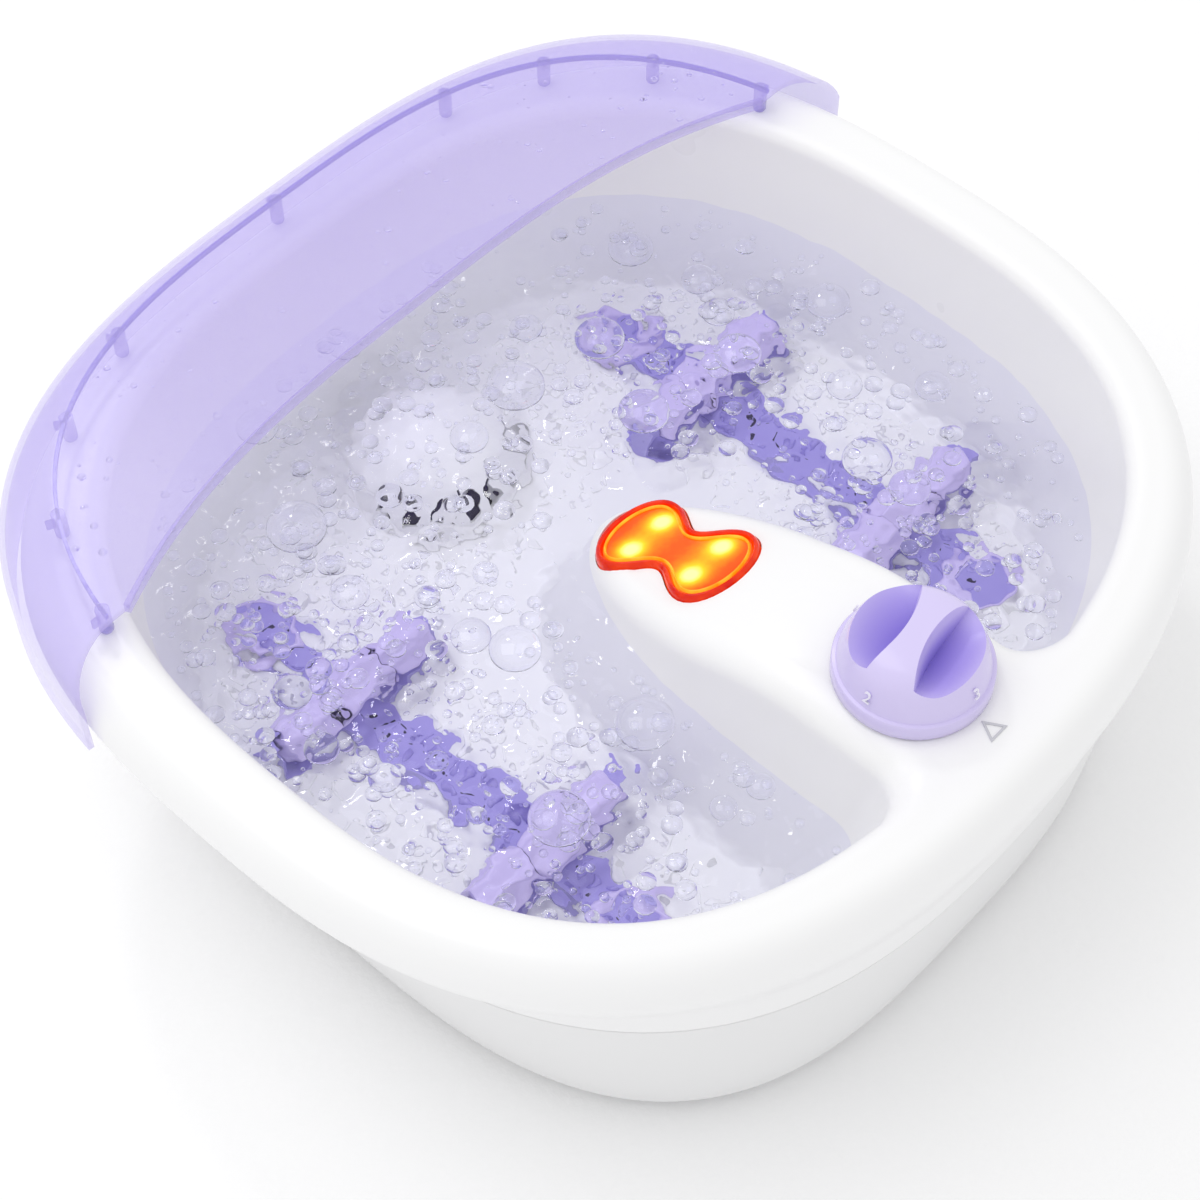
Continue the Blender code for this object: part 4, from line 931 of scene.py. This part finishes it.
def guard_curve(half_x, reach, u, end_y):
    """Point on a guard outline; u runs from -1 to 1, end to end over the toe side."""
    end = math.acos((end_y / reach) ** (GUARD_POWER / 2))
    angle = end * u
    return (half_x * math.copysign(abs(math.sin(angle)) ** (2 / GUARD_POWER), angle),
            reach * math.cos(angle) ** (2 / GUARD_POWER))


def guard_rib(u, less=0.0):
    return guard_curve(RIM_HALF_WIDTH - GUARD_RIB_IN - less,
                       RIM_BACK - GUARD_RIB_IN_BACK - less, u, GUARD_END_Y)


def guard_rows():
    outside = GUARD_CLEAR + GUARD_T
    end_x = guard_rib(1.0)[0] - GUARD_END_WIDTH
    rise = GUARD_Z - RIM_Z + 0.002
    rows = []
    for i in range(GUARD_STATIONS + 1):
        s = 2.0 * i / GUARD_STATIONS - 1.0
        u = math.copysign(abs(s) ** 0.9, s)
        rib = Vector(guard_rib(u))
        inner = Vector((end_x * u, GUARD_END_Y + GUARD_BOW * (1 - abs(u) ** 3)))
        row = [(*inner, GUARD_Z - GUARD_LIP), (*inner, GUARD_Z - 0.0008),
               (*inner.lerp(rib, 0.01), GUARD_Z)]
        row += [(*inner.lerp(rib, t), GUARD_Z) for t in (0.04, 0.2, 0.4, 0.6, 0.8, 0.94, 1.0)]
        for t in steps(10):
            turn = 0.5 * math.pi * t
            reach = Vector(guard_curve(RIM_HALF_WIDTH + outside, RIM_BACK + outside, u,
                                       GUARD_END_Y - GUARD_HOOK * t))
            row.append((*rib.lerp(reach, math.sin(turn)), GUARD_Z - rise * (1 - math.cos(turn))))
        row += [(*reach, lerp(GUARD_Z - rise, GUARD_SKIRT_Z, t)) for t in steps(4)]
        rows.append(row)
    return rows


guard = made("guard_sheet", skinned(guard_rows(), closed=False), guard_clear,
             "splash_guard_body", ["splash_guard"])
if sum(p.normal.z * p.area for p in guard.data.polygons) < 0:
    guard.data.flip_normals()
thicken(guard, GUARD_T)
settle(guard)

rib_rings = []
for i in range(GUARD_STATIONS + 1):
    u = (2.0 * i / GUARD_STATIONS - 1.0) * 0.985
    a, b = Vector(guard_rib(u, 0.0006)), Vector(guard_rib(u, -0.0006))
    low, high = GUARD_Z - 0.0040, GUARD_Z - GUARD_T - 0.00005
    rib_rings.append([(*a, low), (*b, low), (*b, high), (*a, high)])
made("guard_rib", skinned(rib_rings, True, True), rib_clear, "splash_guard_body")
UNDER_Z = GUARD_Z - GUARD_T - 0.00005
FIN_START, FIN_END, FIN_T, FIN_H = 0.0015, 0.0050, 0.0012, 0.0045
DROP_COUNT = 170
pegs = []
for angle in PEG_ANGLES:
    for sign in ((-1, 1) if angle else (1,)):
        u = sign * angle * 0.97
        x, y = guard_rib(u)
        peg = turned([(0.0, RIM_Z + 0.0003), (0.0022, RIM_Z + 0.0003), (0.0026, RIM_Z + 0.0010),
                      (0.0026, UNDER_Z), (0.0, UNDER_Z)], 20)
        pegs.append(moved(peg, (x, y, 0)))
        out = (Vector((x, y)) - Vector(guard_rib(u, 0.01))).normalized()
        fin = bmesh.new()
        bmesh.ops.create_cube(fin, size=1.0)
        bmesh.ops.scale(fin, vec=(FIN_END - FIN_START, FIN_T, FIN_H), verts=fin.verts)
        bmesh.ops.bevel(fin, geom=fin.edges[:], offset=0.0004, segments=2, affect="EDGES",
                        profile=0.5, material=-1)
        moved(fin, ((FIN_START + FIN_END) / 2, 0, UNDER_Z - 0.0022 - FIN_H / 2))
        moved(fin, Matrix.Rotation(math.atan2(out.y, out.x), 4, "Z"))
        pegs.append(moved(fin, (x, y, 0)))
made("guard_pegs", joined(pegs), peg_clear, "splash_guard_body")

spots = random.Random(3)
drops = []
while len(drops) < DROP_COUNT:
    u, depth = spots.uniform(-0.97, 0.97), spots.uniform(0.05, 0.95)
    rib = Vector(guard_rib(u))
    inner = Vector(((guard_rib(1.0)[0] - GUARD_END_WIDTH) * u,
                    GUARD_END_Y + GUARD_BOW * (1 - abs(u) ** 3)))
    spot = inner.lerp(rib, depth)
    if (rib - inner).length > 0.02:
        radius = 0.0004 + 0.0014 * spots.random() ** 3
        drop = turned([(0.0, 0.0), (radius, 0.0), (radius * 0.85, radius * 0.35),
                       (radius * 0.45, radius * 0.6), (0.0, radius * 0.66)], 10)
        drops.append(moved(drop, (spot.x, spot.y, GUARD_Z - 0.00002)))
guard_drops = made("guard_drops", joined(drops), drop_clear, "splash_guard_body")

# ------------------------------------------------------------------ inside parts
# Pump, hoses, heater, thermostat, vibration motor, switch and boards sit between tub
# and pan.  Their shapes come from the frame; here they get their real finishes.

black = moulded("casing_black", (0.035, 0.035, 0.04), 0.45)
hose_rubber = moulded("hose_rubber", (0.10, 0.10, 0.11), 0.65)
alloy = Finish("heater_alloy", (0.55, 0.56, 0.58), 0.42, Metallic=1.0)
alloy.set(Roughness=alloy.noise(500.0, 3.0) * 0.3 + 0.25)
brass = Finish("weight_brass", (0.70, 0.50, 0.22), 0.32, Metallic=1.0)
brass.set(Roughness=brass.noise(700.0, 3.0) * 0.25 + 0.2)
board = Finish("board_green", (0.03, 0.16, 0.07), 0.4)
board.set(Base_Color=board.ramp(board.noise(700.0, 1.0), [
    (0.45, (0.02, 0.13, 0.05)), (0.55, (0.05, 0.22, 0.10))]))
diode = Finish("diode_clear", (1.0, 0.55, 0.25), 0.15, Emission_Strength=0.8)
diode.set(Emission_Color=diode.ramp(diode.noise(900.0), [
    (0.2, (1.0, 0.5, 0.1)), (0.8, (1.0, 0.8, 0.3))]))
FINISH_BY_START = {
    "base_screw": steel, "board_screw": steel, "axle": steel, "knob_shaft": steel,
    "vibration_motor": steel, "motor_bracket": alloy, "heater_plate": alloy,
    "eccentric_weight": brass, "air_pump": black, "rotary_switch": black,
    "thermostat": black, "air_hose": hose_rubber, "cord_gland": hose_rubber,
    "shaft_seal": hose_rubber, "control_board": board, "infrared_board": board,
    "infrared_led": diode}
for name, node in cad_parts.items():
    for start, finish in FINISH_BY_START.items():
        if name.startswith(start):
            node.data.materials.clear()
            node.data.materials.append(finish.material)

# ------------------------------------------------------------------ water
# The basin is filled to about 40 mm under the rim.  Air from the strips keeps the
# surface in short lively ripples, strongest over the rollers and the dome.

WATER_Z = 0.0945
WATER_TOP_LIMIT = 0.0985
WATER_SINK = 0.0010
WATER_CELL = 0.0016
CHURN = ((0.099, 0.043), (0.099, -0.055), (-0.099, 0.043), (-0.099, -0.055), (0.0, 0.099))
SEED = 7


def wall_inset(column, z):
    """How far in from the rim edge the well wall lies at a height."""
    edge_z, shoulder = EDGE_HEIGHTS[column], SHOULDERS[column]
    foot_turn = math.asin(min(max((WALL_FOOT - z) / WELL_FILLET, 0.0), 1.0))
    if z < WALL_FOOT:
        return WELL_LEAN + WELL_FILLET * (1 - math.cos(foot_turn))
    if z < edge_z - shoulder:
        return WELL_LEAN * (edge_z - shoulder - z) / (edge_z - shoulder - WALL_FOOT)
    turn = math.acos(min(max(1.0 - (edge_z - z) / shoulder, 0.0), 1.0))
    return -shoulder * (1 - math.sin(turn))


def churn(x, y):
    near = min(math.hypot((x - cx) / 1.5, y - cy) for cx, cy in CHURN)
    return lerp(1.0, 0.35, smooth(near / 0.085))


def ripple(x, y):
    """Height of the water surface over its rest level."""
    wide = noise.noise(Vector((x * 42.0, y * 42.0, 1.7)))
    short = noise.noise(Vector((x * 105.0, y * 105.0, 5.1)))
    fine = noise.noise(Vector((x * 210.0, y * 210.0, 9.3)))
    return churn(x, y) * (0.0013 * wide + 0.0014 * (short - 0.4 * abs(short)) + 0.0005 * fine)


half_x, half_y = RIM_HALF_WIDTH - 0.022, RIM_FRONT - 0.020
slab = bmesh.new()
bmesh.ops.create_grid(slab, x_segments=int(2 * half_x / WATER_CELL),
                      y_segments=int(2 * half_y / WATER_CELL), size=1.0)
bmesh.ops.scale(slab, vec=(half_x, half_y, 1.0), verts=slab.verts)
for vert in slab.verts:
    vert.co.z = WATER_Z + ripple(vert.co.x, vert.co.y)
rim_edges = [e for e in slab.edges if e.is_boundary]
walls = bmesh.ops.extrude_edge_only(slab, edges=rim_edges)["geom"]
for vert in walls:
    if isinstance(vert, bmesh.types.BMVert):
        vert.co.z = FLOOR_Z - 0.010
bmesh.ops.contextual_create(slab, geom=[e for e in slab.edges if e.is_boundary])
bmesh.ops.recalc_face_normals(slab, faces=slab.faces)

heights = [FLOOR_Z - WATER_SINK] + [lerp(FLOOR_Z + 0.0008, WALL_FOOT, t) for t in steps(5, 0)]
heights += [lerp(WALL_FOOT, WATER_TOP_LIMIT, t) for t in steps(14)]
cavity = []
for z in heights:
    half = [well_half(wall_inset(i, max(z, FLOOR_Z + 0.0001)) - WATER_SINK)[i]
            for i in range(COLUMNS)]
    cavity.append(ring(half, [z] * COLUMNS))

water_clear = Finish("water", (0.825, 0.83, 1.0), 0.0, IOR=1.33, Transmission_Weight=1.0)
pebbles = water_clear.node("TexVoronoi", {"feature": "SMOOTH_F1"},
                           {"Vector": water_clear.place, "Scale": 125.0, "Smoothness": 0.35},
                           "Distance")
patches = water_clear.noise(26.0, 1.0)
wavelets = water_clear.noise(110.0, 1.0) - pebbles ** 2.0 * patches * 2.2
water_clear.bump(wavelets, 0.0018, 0.6)
water = made("water", slab, water_clear)
water_tool = cut(water, skinned(cavity, True, True), "INTERSECT")
settle(water, water_tool)

# ------------------------------------------------------------------ bubbles
# Air bubbles of every size ride on the water and gather over the strips; small ones
# are still on their way up.  Each is a thin clear skin that catches the light.

BIG_BUBBLES, BIG_SEED = 31, 5
BIG_LEAST, BIG_SPREAD = 0.0048, 0.0080
BIG_RISE, BIG_SQUASH, BIG_ROOM = 0.10, 0.62, 0.95
FOAM_BUBBLES, SMALL_BUBBLES, DEEP_BUBBLES = 700, 500, 300


def bubble_finish(name, ior):
    """A thin clear skin: hardly bends what is behind it and glints at its outline."""
    finish = Finish(name, (0.97, 0.97, 1.0), 0.0, IOR=ior, Transmission_Weight=1.0,
                    Coat_Weight=1.0, Coat_IOR=1.6, Coat_Roughness=0.01)
    finish.bump(finish.noise(90.0), 0.0003)
    return finish


bubble_skin = bubble_finish("bubble_skin", 1.07)
foam_skin = bubble_finish("foam_skin", 1.12)
deep_skin = bubble_finish("deep_bubble", 0.86)
draw = random.Random(SEED)


def in_well(x, y, clear):
    """True where a bubble of that clearance floats clear of the walls and the ridge."""
    side = RIM_HALF_WIDTH - RIM_LAND_SIDE - clear - 0.008
    reach = RIM_BACK - RIM_LAND_BACK - clear - 0.010
    inside = (abs(x) / side) ** WELL_POWER + (abs(y) / reach) ** WELL_POWER < 1.0
    on_ridge = abs(x) < RIDGE_HALF + clear + 0.004 and y < RIDGE_NOSE + clear + 0.012
    return inside and not on_ridge


def ball(place, radius, squash, fine=False):
    bm = bmesh.new()
    if fine:
        bmesh.ops.create_uvsphere(bm, u_segments=32, v_segments=20, radius=radius)
    else:
        bmesh.ops.create_uvsphere(bm, u_segments=12, v_segments=7, radius=radius)
    bmesh.ops.scale(bm, vec=(1.0, 1.0, squash), verts=bm.verts)
    return moved(bm, place)


def scatter(count, least, spread, power, squash, depth=None, tight=1.0):
    """Bubbles strewn over the well, more of them where the water is churned."""
    balls = []
    while len(balls) < count:
        x, y = draw.uniform(-0.17, 0.17), draw.uniform(-0.16, 0.16)
        radius = least + spread * draw.random() ** power
        if in_well(x, y, radius) and draw.random() < churn(x, y) ** tight:
            z = draw.uniform(*depth) if depth else WATER_Z + ripple(x, y) + radius * 0.08
            balls.append(ball((x, y, z), radius, squash))
    return joined(balls)


def lit_through(*pieces):
    """Let light pass clear pieces instead of shading what is under them."""
    for piece in pieces:
        piece.visible_shadow = piece.visible_diffuse = False


def big_bubbles():
    """Large bubbles strewn by a draw of their own, each with room round it."""
    places, placed = random.Random(BIG_SEED), []
    while len(placed) < BIG_BUBBLES:
        x, y = places.uniform(-0.17, 0.17), places.uniform(-0.16, 0.16)
        radius = BIG_LEAST + BIG_SPREAD * places.random() ** 1.5
        apart = all(math.hypot(x - px, y - py) > BIG_ROOM * (radius + r)
                    for px, py, r in placed)
        if apart and in_well(x, y, radius) and places.random() < churn(x, y):
            placed.append((x, y, radius))
    return joined([ball((x, y, WATER_Z + r * BIG_RISE), r, BIG_SQUASH, True)
                   for x, y, r in placed])


lit_through(
    water, guard_drops,
    made("big_bubbles", big_bubbles(), bubble_skin),
    made("foam_bubbles", scatter(FOAM_BUBBLES, 0.0014, 0.0030, 1.6, 0.42, tight=0.6),
         foam_skin),
    made("small_bubbles", scatter(SMALL_BUBBLES, 0.0006, 0.0012, 2.0, 0.7, tight=1.5),
         bubble_skin),
    made("deep_bubbles", scatter(DEEP_BUBBLES, 0.0006, 0.0018, 3.0, 0.9,
                                 (FLOOR_Z + 0.008, WATER_Z - 0.006), 2.0), deep_skin))
guard.visible_shadow = False
